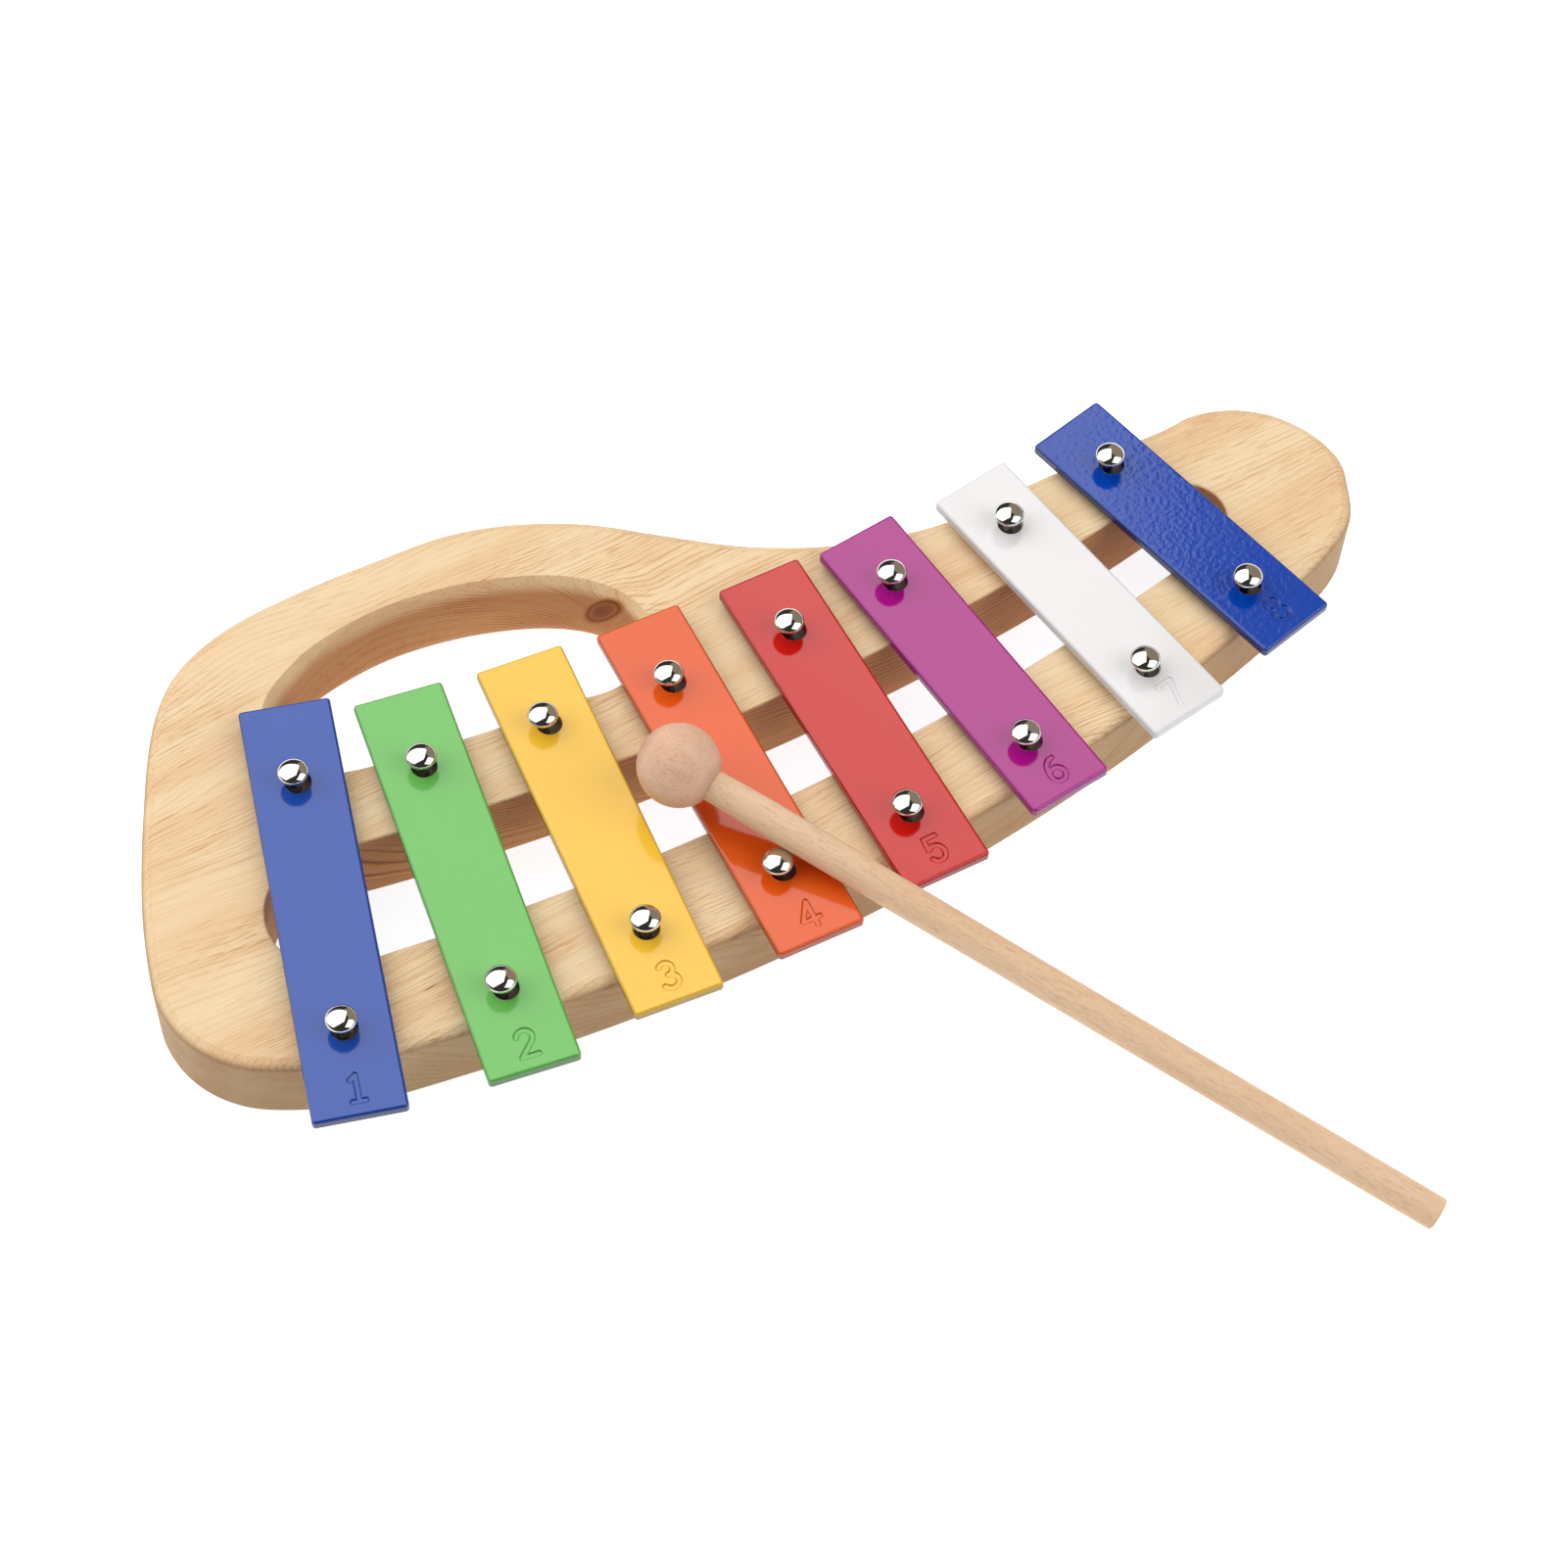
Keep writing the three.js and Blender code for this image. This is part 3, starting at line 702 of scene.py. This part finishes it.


# Pressed wool felt: quite matt, with a soft nap that blurs its edges and a faint fleck. Its dark brown grey
# is partly painted shade for the holes under the nail heads. The fibres are far finer than the nap drawn
# here, which is as coarse as it needs to be to show.
def pressed_felt():
    felt = new_material("pressed_wool_felt")
    place = add_node(felt, "ShaderNodeTexCoord", {})
    nap = add_node(
        felt,
        "ShaderNodeTexNoise",
        {"Vector": (place, "Object"), "Scale": 1 / (FELT_NAP * MM), "Detail": 3.0},
    )
    # Dark tones: partly painted shade for the holes under the nail heads.
    fleck = add_node(
        felt, "ShaderNodeValToRGB", {"Fac": (nap, "Fac"), "stops": [(0.3, "#4a4036"), (0.7, "#6a5d4e")]}
    )
    bump = add_node(
        felt, "ShaderNodeBump", {"Height": (nap, "Fac"), "Strength": 0.8, "Distance": FELT_NAP_DEPTH * MM}
    )
    surface = add_node(
        felt,
        "ShaderNodeBsdfPrincipled",
        {
            "Base Color": (fleck, "Color"),
            "Normal": (bump, "Normal"),
            "Roughness": 0.95,
            "Sheen Weight": 0.4,
        },
    )
    add_node(felt, "ShaderNodeOutputMaterial", {"Surface": (surface, "BSDF")})
    return felt


felt_low, felt_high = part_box("felt_f_far")
felt_radius = (felt_high.x - felt_low.x) / 2 / MM
felt_shell = turned_shell(
    [
        [
            (FELT_BORE_RADIUS, 0),
            (felt_radius - FELT_EASING, 0),
            (felt_radius, FELT_EASING),
            (felt_radius, FELT_THICKNESS - FELT_EASING),
            (felt_radius - FELT_EASING, FELT_THICKNESS),
            (FELT_BORE_RADIUS, FELT_THICKNESS),
        ],
        [(FELT_BORE_RADIUS, FELT_THICKNESS), (FELT_BORE_RADIUS, 0)],
    ],
    FELT_SIDES,
)
felt = pressed_felt()
for note in NOTES:
    for end in ENDS:
        spot = middle_of(f"felt_{note}_{end}")
        place = Matrix.Translation((spot.x, spot.y, BOARD_THICKNESS * MM))
        washer = felt_shell.piece(f"felt_washer_{note}_{end}", felt, place)
        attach(washer, "base")
        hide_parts(f"felt_{note}_{end}")

# Tone bars: flat metal strips, cut to a length for each note, with two clearance holes and a number struck
# into the near end. Each was dipped in thick gloss enamel, which rounds its edges, and they lie loose.

BAR_UNDERSIDE = 28.5
BAR_THICKNESS = 3.0
BAR_EDGE_ROUND = 0.9
BAR_LOWER_ROUND = 0.35
BAR_CORNER_RADIUS = 1.1
BAR_CORNER_STEPS = 10
BAR_HOLE_ROUND = 0.35
BAR_HOLE_SIDES = 64
NUMBER_FROM_END = 7.9
NUMBER_HEIGHT = 7.6
# How far a number reaches from its middle, to the side and up, in shares of its height.
NUMBER_REACH_SHARES = (0.31, 0.5)
STRUCK_HALF_WIDTH = 0.5
STRUCK_SLOPE = 0.4
STRUCK_DEPTH = 0.42
STRUCK_GRID = 0.15
STRUCK_NUDGE = 0.02
ARC_STEP = 15


def arc(x, y, across, up, start, end):
    """Points along an arc of an ellipse round x and y."""
    angles = np.radians(np.linspace(start, end, 2 + abs(end - start) // ARC_STEP))
    return [(x + across * math.cos(a), y + up * math.sin(a)) for a in angles]


# The strokes of the numbers 1 to 8, in shares of their height.
STROKES = (
    [[(-0.15, 0.33), (0.05, 0.5), (0.05, -0.5)], [(-0.17, -0.5), (0.27, -0.5)]],
    [[*arc(0, 0.22, 0.28, 0.28, 165, -35), (-0.29, -0.5), (0.3, -0.5)]],
    [[*arc(-0.01, 0.26, 0.24, 0.24, 150, -90), *arc(-0.01, -0.23, 0.29, 0.27, 85, -150)]],
    [[(0.11, -0.5), (0.11, 0.5), (-0.33, -0.22), (0.31, -0.22)]],
    [[(0.24, 0.5), (-0.19, 0.5), (-0.24, 0.03), *arc(-0.01, -0.18, 0.29, 0.32, 125, -150)]],
    [[(0.2, 0.47), (0.05, 0.45), (-0.14, 0.3), (-0.26, 0.02), *arc(0.0, -0.21, 0.28, 0.29, 180, -180)]],
    [[(-0.29, 0.36), (-0.29, 0.5), (0.29, 0.5), (-0.05, -0.5)]],
    [arc(0, 0.27, 0.23, 0.23, 90, 450), arc(0, -0.23, 0.29, 0.27, 90, 450)],
)


def struck_depth(points, strokes):
    """How deep the struck number is at each point, in millimetres."""
    nearest = np.full(len(points), np.inf)
    for stroke in strokes:
        line = np.array(stroke) * NUMBER_HEIGHT
        for start, end in zip(line, line[1:]):
            side = end - start
            share = np.clip((points - start) @ side / (side @ side), 0, 1)
            nearest = np.minimum(nearest, np.linalg.norm(points - start - share[:, None] * side, axis=1))
    ease = np.clip((nearest - STRUCK_HALF_WIDTH) / STRUCK_SLOPE, 0, 1)
    return STRUCK_DEPTH * (1 - ease * ease * (3 - 2 * ease))


def bar_place(node):
    """A bar's middle, turn, half sizes and hole places, from its solid's level underside."""
    outline, *holes = level_loops(node, BAR_UNDERSIDE)
    sides = np.roll(outline, -1, axis=0) - outline
    longest = sides[np.argmax(np.linalg.norm(sides, axis=1))]
    if longest[1] < 0:
        longest = -longest
    turn = math.atan2(longest[1], longest[0]) - math.pi / 2
    straighten = np.array([[math.cos(turn), -math.sin(turn)], [math.sin(turn), math.cos(turn)]])
    straight = outline @ straighten
    low, high = straight.min(axis=0), straight.max(axis=0)
    middle = (low + high) / 2
    spots = []
    for hole in holes:
        turned = hole @ straighten - middle
        spots.append(((turned.min(axis=0) + turned.max(axis=0)) / 2, np.ptp(turned, axis=0).max() / 2))
    return straighten @ middle, turn, (high - low) / 2, spots


def bar_shell(half, holes, strokes):
    """A bar's shell, round its own middle and straight along its own +Y."""
    shell = Shell()
    edge = []
    out = []
    for across, up, start in ((1, 1, 0), (-1, 1, 90), (-1, -1, 180), (1, -1, 270)):
        centre = np.array([across, up]) * (half - BAR_CORNER_RADIUS)
        for angle in np.radians(np.linspace(start, start + 90, BAR_CORNER_STEPS + 1)):
            away = np.array([math.cos(angle), math.sin(angle)])
            edge.append(centre + away * (BAR_CORNER_RADIUS - BAR_EDGE_ROUND))
            out.append(away)
    below, above = rounded_wall(
        shell, np.array(edge), np.array(out), 0, BAR_THICKNESS, BAR_LOWER_ROUND, BAR_EDGE_ROUND
    )
    lower = [below]
    upper = [above]
    angles = -2 * math.pi * np.arange(BAR_HOLE_SIDES) / BAR_HOLE_SIDES
    spokes = np.stack([np.cos(angles), np.sin(angles)], axis=1)
    for spot, radius in holes:
        rim = spot + spokes * (radius + BAR_HOLE_ROUND)
        below, above = rounded_wall(shell, rim, -spokes, 0, BAR_THICKNESS, BAR_HOLE_ROUND, BAR_HOLE_ROUND)
        lower.append(below)
        upper.append(above)

    # The face under the number is a fine grid, pressed down along the strokes.
    reach = np.array(NUMBER_REACH_SHARES) * NUMBER_HEIGHT + STRUCK_HALF_WIDTH + STRUCK_SLOPE + STRUCK_GRID
    across, up = (np.arange(-r, r + STRUCK_GRID / 2, STRUCK_GRID) for r in reach)
    grid = np.stack(np.meshgrid(across, up), axis=-1).reshape(-1, 2)
    falls = [
        (struck_depth(grid + step, strokes) - struck_depth(grid - step, strokes)) / (2 * STRUCK_NUDGE)
        for step in STRUCK_NUDGE * np.eye(2)
    ]
    normals = np.column_stack([*falls, np.ones(len(grid))])
    normals /= np.linalg.norm(normals, axis=1)[:, None]
    plan = grid + (0, NUMBER_FROM_END - half[1])
    struck = shell.ring(np.column_stack([plan, BAR_THICKNESS - struck_depth(grid, strokes)]), normals)
    cover(shell, lower, False)
    cover(shell, upper, True, plan, struck)
    return shell


# Each bar's slot, and its enamel: the colour on the flat and the darker colour of its sides and struck lines,
# where it ran thick and where shade is painted, the height and the size of its orange peel in millimetres,
# and how blurred its gloss is.
ENAMELS = {
    "c_low": ("paint_blue", "#224daa", "#0a2050", 0.006, 1.0, 0.09),
    "d": ("paint_green", "#6ec15b", "#3d6f32", 0.006, 1.0, 0.09),
    "e": ("paint_yellow", "#f8c537", "#a17f20", 0.006, 1.0, 0.09),
    "f": ("paint_orange", "#e65a12", "#983908", 0.006, 1.0, 0.09),
    "g": ("paint_red", "#cb1911", "#860d08", 0.006, 1.0, 0.09),
    "a": ("paint_purple", "#aa1085", "#810965", 0.006, 1.0, 0.09),
    "b": ("paint_white", "#e9e7e8", "#cdcbcc", 0.006, 1.0, 0.09),
    "c_high": ("paint_deep_blue", "#0040aa", "#001a50", 0.052, 1.5, 0.13),
}
WIPE_MARKS = 14.0


# Dipped gloss enamel on steel: a thick film that mirrors the lights sharply, a little less so where it was
# wiped. It shows a very slight orange peel, stronger on the high C bar. It ran thick round the edges and the
# struck lines, and looks deeper there. The sides and the struck lines are also darkened as painted shade.
def dipped_enamel(name, colour, thick_and_shaded_colour, peel, peel_size, blur):
    enamel = new_material(name)
    place = add_node(enamel, "ShaderNodeTexCoord", {})
    facing = add_node(enamel, "ShaderNodeSeparateXYZ", {"Vector": (place, "Normal")})
    # Where the surface leans from level, the colour turns to the darker one: thicker enamel plus painted
    # shade.
    thick_and_shaded = add_node(
        enamel,
        "ShaderNodeValToRGB",
        {
            "Fac": (facing, "Z"),
            "stops": [(0.0, "#ffffff"), (0.35, "#bcbcbc"), (0.9, "#a8a8a8"), (0.985, "#000000")],
        },
    )
    film = add_node(
        enamel,
        "ShaderNodeMix",
        {
            "data_type": "RGBA",
            SHARE: (thick_and_shaded, "Color"),
            COLOUR_A: linear(colour),
            COLOUR_B: linear(thick_and_shaded_colour),
        },
    )
    waves = add_node(
        enamel,
        "ShaderNodeTexNoise",
        {"Vector": (place, "Object"), "Scale": 1 / (peel_size * MM), "Detail": 1.0, "Roughness": 0.4},
    )
    bump = add_node(
        enamel, "ShaderNodeBump", {"Height": (waves, "Fac"), "Strength": 1.0, "Distance": peel * MM}
    )
    wiped = add_node(
        enamel,
        "ShaderNodeTexNoise",
        {"Vector": (place, "Object"), "Scale": 1 / (WIPE_MARKS * MM), "Detail": 2.0},
    )
    haze = add_node(
        enamel,
        "ShaderNodeMapRange",
        {"Value": (wiped, "Fac"), "To Min": 0.6 * blur, "To Max": 1.4 * blur},
    )
    surface = add_node(
        enamel,
        "ShaderNodeBsdfPrincipled",
        {
            "Base Color": (film, COLOUR_OUT),
            "Roughness": (haze, "Result"),
            "Normal": (bump, "Normal"),
            "IOR": 1.58,
        },
    )
    add_node(enamel, "ShaderNodeOutputMaterial", {"Surface": (surface, "BSDF")})
    return enamel


for note, strokes in zip(NOTES, STROKES):
    slot_name, *coat = ENAMELS[note]
    middle, turn, half, holes = bar_place(f"bar_{note}")
    spot = (middle[0] * MM, middle[1] * MM, BAR_UNDERSIDE * MM)
    place = Matrix.Translation(spot) @ Matrix.Rotation(turn, 4, "Z")
    enamel = dipped_enamel(slot_name.replace("paint", "dipped_enamel"), *coat)
    bar = bar_shell(half, holes, strokes).piece(f"tone_bar_{note}", enamel, place)
    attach(bar, f"tone_bar_{note}")
    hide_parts(f"bar_{note}")

# Domed nails: steel upholsterer's nails with a solid domed head, bright nickel plated. Two hold each bar
# loosely: the head stands well clear of the bar, and the plain shank is driven into the board.

NAIL_TIP = 8.3
NAIL_TIP_LENGTH = 3.0
NAIL_RADIUS = 1.4
NAIL_HEAD_UNDERSIDE = 36.3
NAIL_HEAD_RADIUS = 4.2
NAIL_HEAD_HEIGHT = 2.5
NAIL_RIM = 0.4
NAIL_RIM_STEPS = 5
NAIL_DOME_STEPS = 16
NAIL_SIDES = 64
POLISH_MARKS = 0.8


# Nickel plate over polished steel: a slightly warm mirror, with the faintest blur from polishing. The marks
# are drawn coarser than real ones, which are too fine to show.
def bright_nickel():
    nickel = new_material("bright_nickel_plate")
    place = add_node(nickel, "ShaderNodeTexCoord", {})
    marks = add_node(
        nickel,
        "ShaderNodeTexNoise",
        {"Vector": (place, "Object"), "Scale": 1 / (POLISH_MARKS * MM), "Detail": 2.0},
    )
    blur = add_node(
        nickel, "ShaderNodeMapRange", {"Value": (marks, "Fac"), "To Min": 0.03, "To Max": 0.1}
    )
    surface = add_node(
        nickel,
        "ShaderNodeBsdfPrincipled",
        {"Base Color": linear("#dcd8d0"), "Roughness": (blur, "Result"), "Metallic": 1.0},
    )
    add_node(nickel, "ShaderNodeOutputMaterial", {"Surface": (surface, "BSDF")})
    return nickel


tip_top = NAIL_TIP + NAIL_TIP_LENGTH
rim_middle = NAIL_HEAD_RADIUS - NAIL_RIM
dome_foot = NAIL_HEAD_UNDERSIDE + NAIL_RIM
dome_rise = NAIL_HEAD_HEIGHT - NAIL_RIM
rim = [
    (rim_middle + NAIL_RIM * math.cos(a), NAIL_HEAD_UNDERSIDE + NAIL_RIM * (1 + math.sin(a)))
    for a in np.linspace(-math.pi / 2, 0, NAIL_RIM_STEPS + 1)
]
dome = [
    (NAIL_HEAD_RADIUS * math.cos(a), dome_foot + dome_rise * math.sin(a))
    for a in np.linspace(0, math.pi / 2, NAIL_DOME_STEPS + 1)[1:-1]
]
nail_shell = turned_shell(
    [
        [(0, NAIL_TIP), (NAIL_RADIUS, tip_top)],
        [(NAIL_RADIUS, tip_top), (NAIL_RADIUS, NAIL_HEAD_UNDERSIDE)],
        [
            (NAIL_RADIUS, NAIL_HEAD_UNDERSIDE),
            *rim,
            *dome,
            (0, NAIL_HEAD_UNDERSIDE + NAIL_HEAD_HEIGHT),
        ],
    ],
    NAIL_SIDES,
)
nickel = bright_nickel()
for note in NOTES:
    for end in ENDS:
        spot = middle_of(f"nail_{note}_{end}")
        nail = nail_shell.piece(f"domed_nail_{note}_{end}", nickel, Matrix.Translation((spot.x, spot.y, 0)))
        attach(nail, "base")
        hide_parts(f"nail_{note}_{end}")

# Mallet head: a ball turned from beech, 22.5 mm across, with a blind bore for the stick. It was sanded on the
# lathe and left bare. Lengths along the mallet are measured from the ball's middle.

BALL_RADIUS = 11.25
BALL_SIDES = 96
BALL_STEPS = 64
BORE_DEPTH = 14.0
STICK_NECK_RADIUS = 4.4
JOINT_GAP = 0.03
END_FACE_SLACK = 0.05
# Across the grain and along it, in millimetres: streaks, rays and pores. Real pores are under 0.1 mm wide,
# and are drawn coarser, so that they show.
BEECH_STREAKS = (6.0, 60.0)
BEECH_RAY_WIDTH = 0.35
BEECH_PORES = (0.3, 2.4)
BEECH_FLECK_DEPTH = 0.05


def mallet_place():
    """Stands the mallet's own +Z, from the ball's middle to the stick's end, where the solids have it."""
    points = np.array([vertex.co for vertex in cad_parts["mallet_stick"].data.vertices])
    ball = np.array(middle_of("mallet_head"))
    reach = np.linalg.norm(points - ball, axis=1)
    end = points[reach > reach.max() - END_FACE_SLACK * MM].mean(axis=0)
    turn = Vector(end - ball).to_track_quat("Z", "Y").to_matrix().to_4x4()
    return Matrix.Translation(ball) @ turn


# Turned beech, sanded but bare: pinkish brown, dull, flecked all over with short darker rays and fine pores.
# The ends of the fibres, where the surface faces along the grain, look darker.
def turned_beech(name, pale, dark, ray_length):
    beech = new_material(name)
    place = add_node(beech, "ShaderNodeTexCoord", {})
    facing = add_node(beech, "ShaderNodeSeparateXYZ", {"Vector": (place, "Normal")})
    grain = add_node(
        beech, "ShaderNodeMapping", {"Vector": (place, "Object"), "Scale": (1 / MM, 1 / MM, 1 / MM)}
    )
    noises = []
    for across, along in (BEECH_STREAKS, (BEECH_RAY_WIDTH, ray_length), BEECH_PORES):
        stretched = add_node(
            beech,
            "ShaderNodeVectorMath",
            {"operation": "MULTIPLY", 0: (grain, "Vector"), 1: (1 / across, 1 / across, 1 / along)},
        )
        noises.append(
            add_node(
                beech,
                "ShaderNodeTexNoise",
                {"Vector": (stretched, "Vector"), "Scale": 1.0, "Detail": 2.0, "Roughness": 0.6},
            )
        )
    streaks, rays, pores = noises
    endwise = add_node(beech, "ShaderNodeMath", {"operation": "ABSOLUTE", 0: (facing, "Z")})
    wood = add_node(
        beech, "ShaderNodeValToRGB", {"Fac": (streaks, "Fac"), "stops": [(0.3, dark), (0.7, pale)]}
    )
    shade = (wood, "Color")
    for share, source, stops in (
        (0.4, (rays, "Fac"), [(0.3, "#c9a88a"), (0.46, "#ffffff")]),
        (0.4, (pores, "Fac"), [(0.3, "#b99a80"), (0.42, "#ffffff")]),
        (1.0, (endwise, "Value"), [(0.7, "#ffffff"), (0.95, "#e4dcdb")]),
    ):
        tint = add_node(beech, "ShaderNodeValToRGB", {"Fac": source, "stops": stops})
        laid = add_node(
            beech,
            "ShaderNodeMix",
            {
                "data_type": "RGBA",
                "blend_type": "MULTIPLY",
                SHARE: share,
                COLOUR_A: shade,
                COLOUR_B: (tint, "Color"),
            },
        )
        shade = (laid, COLOUR_OUT)
    bump = add_node(
        beech,
        "ShaderNodeBump",
        {"Height": (rays, "Fac"), "Strength": 0.3, "Distance": BEECH_FLECK_DEPTH * MM},
    )
    surface = add_node(
        beech,
        "ShaderNodeBsdfPrincipled",
        {"Base Color": shade, "Normal": (bump, "Normal"), "Roughness": 0.6, "Specular IOR Level": 0.25},
    )
    add_node(beech, "ShaderNodeOutputMaterial", {"Surface": (surface, "BSDF")})
    return beech


bore_radius = STICK_NECK_RADIUS + JOINT_GAP
bore_floor = BALL_RADIUS - BORE_DEPTH
mouth_angle = math.asin(bore_radius / BALL_RADIUS)
ball_round = [
    (BALL_RADIUS * math.sin(a), BALL_RADIUS * math.cos(a))
    for a in np.linspace(math.pi, mouth_angle, BALL_STEPS + 1)[1:]
]
ball_shell = turned_shell(
    [
        [(0, -BALL_RADIUS), *ball_round],
        [(bore_radius, BALL_RADIUS * math.cos(mouth_angle)), (bore_radius, bore_floor)],
        [(bore_radius, bore_floor), (0, bore_floor)],
    ],
    BALL_SIDES,
)
lying = mallet_place()
ball_wood = turned_beech("turned_beech_ball", "#e7c0a5", "#dcb092", 4.0)
ball = ball_shell.piece("mallet_ball", ball_wood, lying)
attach(ball, "mallet")
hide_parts("mallet_head")

# Mallet stick: a beech dowel, turned a little thinner towards the ball, with its neck glued into the bore
# and its free end eased by sanding.

STICK_REACH = 229.5
STICK_RADIUS = 4.7
STICK_END_RADIUS = 4.55
STICK_NECK_LENGTH = 16.0
STICK_NECK_STEPS = 11
STICK_EASING = 0.7
STICK_EASING_STEPS = 7
STICK_SIDES = 72
GLUE_ROOM = 0.3

stick_start = bore_floor + GLUE_ROOM
shoulder_rise = STICK_RADIUS - STICK_NECK_RADIUS
shoulder = [
    (STICK_NECK_RADIUS + shoulder_rise * s * s * (3 - 2 * s), BALL_RADIUS + STICK_NECK_LENGTH * s)
    for s in np.linspace(0, 1, STICK_NECK_STEPS + 1)
]
eased_end = [
    (STICK_END_RADIUS - STICK_EASING * (1 - math.cos(a)), STICK_REACH - STICK_EASING * (1 - math.sin(a)))
    for a in np.linspace(0, math.pi / 2, STICK_EASING_STEPS + 1)
]
stick_shell = turned_shell(
    [
        [(0, stick_start), (STICK_NECK_RADIUS, stick_start)],
        [(STICK_NECK_RADIUS, stick_start), *shoulder, *eased_end, (0, STICK_REACH)],
    ],
    STICK_SIDES,
)
stick_wood = turned_beech("turned_beech_dowel", "#ebcaa9", "#e3bd98", 6.0)
stick = stick_shell.piece("mallet_dowel", stick_wood, lying)
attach(stick, "mallet")
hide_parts("mallet_stick")

# The studio, in metres: a wide white floor, turned up far away so that a low view ends in white too. A very
# large soft light stands high at the back left and a smaller one at the front right, and the enamel and the
# nails mirror both. A warm wall at the right and the room itself are dim.

FLOOR_HALF = 12.0
FLOOR_RIM = 0.95
# The floor lies this much below the board, so that their faces don't share a plane.
FLOOR_DROP = 0.0001

floor_corners = [(x * FLOOR_HALF, y * FLOOR_HALF) for x, y in ((-1, -1), (1, -1), (1, 1), (-1, 1))]
floor_mesh = bpy.data.meshes.new("floor")
floor_mesh.from_pydata(
    [(x, y, height) for height in (-FLOOR_DROP, FLOOR_RIM) for x, y in floor_corners],
    [],
    [(0, 1, 2, 3), (0, 4, 5, 1), (1, 5, 6, 2), (2, 6, 7, 3), (3, 7, 4, 0)],
)
floor = bpy.data.objects.new("floor", floor_mesh)
bpy.context.scene.collection.objects.link(floor)

# Matt white board, lit from behind: it stays white to its edges and takes only a faint shadow.
floor_paint = new_material("matt_white_board")
floor_surface = add_node(
    floor_paint,
    "ShaderNodeBsdfPrincipled",
    {
        "Base Color": linear("#d0d0d0"),
        "Roughness": 0.9,
        "Specular IOR Level": 0.1,
        "Emission Color": linear("#f5faff"),
        "Emission Strength": 0.86,
    },
)
add_node(floor_paint, "ShaderNodeOutputMaterial", {"Surface": (floor_surface, "BSDF")})
floor_mesh.materials.append(floor_paint)

# Each light's place, its turns in degrees, its width and height, its radiance and its colour.
for name, spot, turns, width, height, radiance, colour in (
    ("large_soft_light", (-0.391, 0.322, 1.305), (45.5, -41.5, -116.6), 1.89, 2.45, 1.95, "#ffffff"),
    ("right_soft_light", (0.709, -0.747, 0.948), (46.8, -8.6, 51.5), 1.18, 1.29, 2.0, "#ffffff"),
    ("warm_wall", (1.216, 0.443, 0.940), (54.0, 0.0, 110.0), 1.92, 1.60, 0.4, "#d8c4ac"),
):
    light = bpy.data.lights.new(name, "AREA")
    light.shape = "RECTANGLE"
    light.size = width
    light.size_y = height
    light.color = linear(colour)[:3]
    light.energy = radiance * math.pi * width * height
    lamp = bpy.data.objects.new(name, light)
    lamp.location = spot
    lamp.rotation_euler = [math.radians(turn) for turn in turns]
    bpy.context.scene.collection.objects.link(lamp)

world = bpy.data.worlds.new("studio")
world.use_nodes = True
bpy.context.scene.world = world
room = world.node_tree.nodes["Background"]
room.inputs["Color"].default_value = linear("#ffffff")
room.inputs["Strength"].default_value = 0.04
# The hex colours are meant to come out as they are written, with no film look laid over them.
bpy.context.scene.view_settings.view_transform = "Standard"

# The camera stands where the photograph was taken from, worked out from the board's face and the nails.
camera = bpy.data.cameras.new("camera")
camera.sensor_width = 36.0
camera.lens = 85.57
camera.clip_start = 0.05
camera.clip_end = 20.0
viewer = bpy.data.objects.new("camera", camera)
viewer.location = (-0.27344, -0.50505, 0.87568)
viewer.rotation_euler = [math.radians(turn) for turn in (32.143, -1.571, -27.165)]
bpy.context.scene.collection.objects.link(viewer)
bpy.context.scene.camera = viewer

bpy.context.view_layer.update()
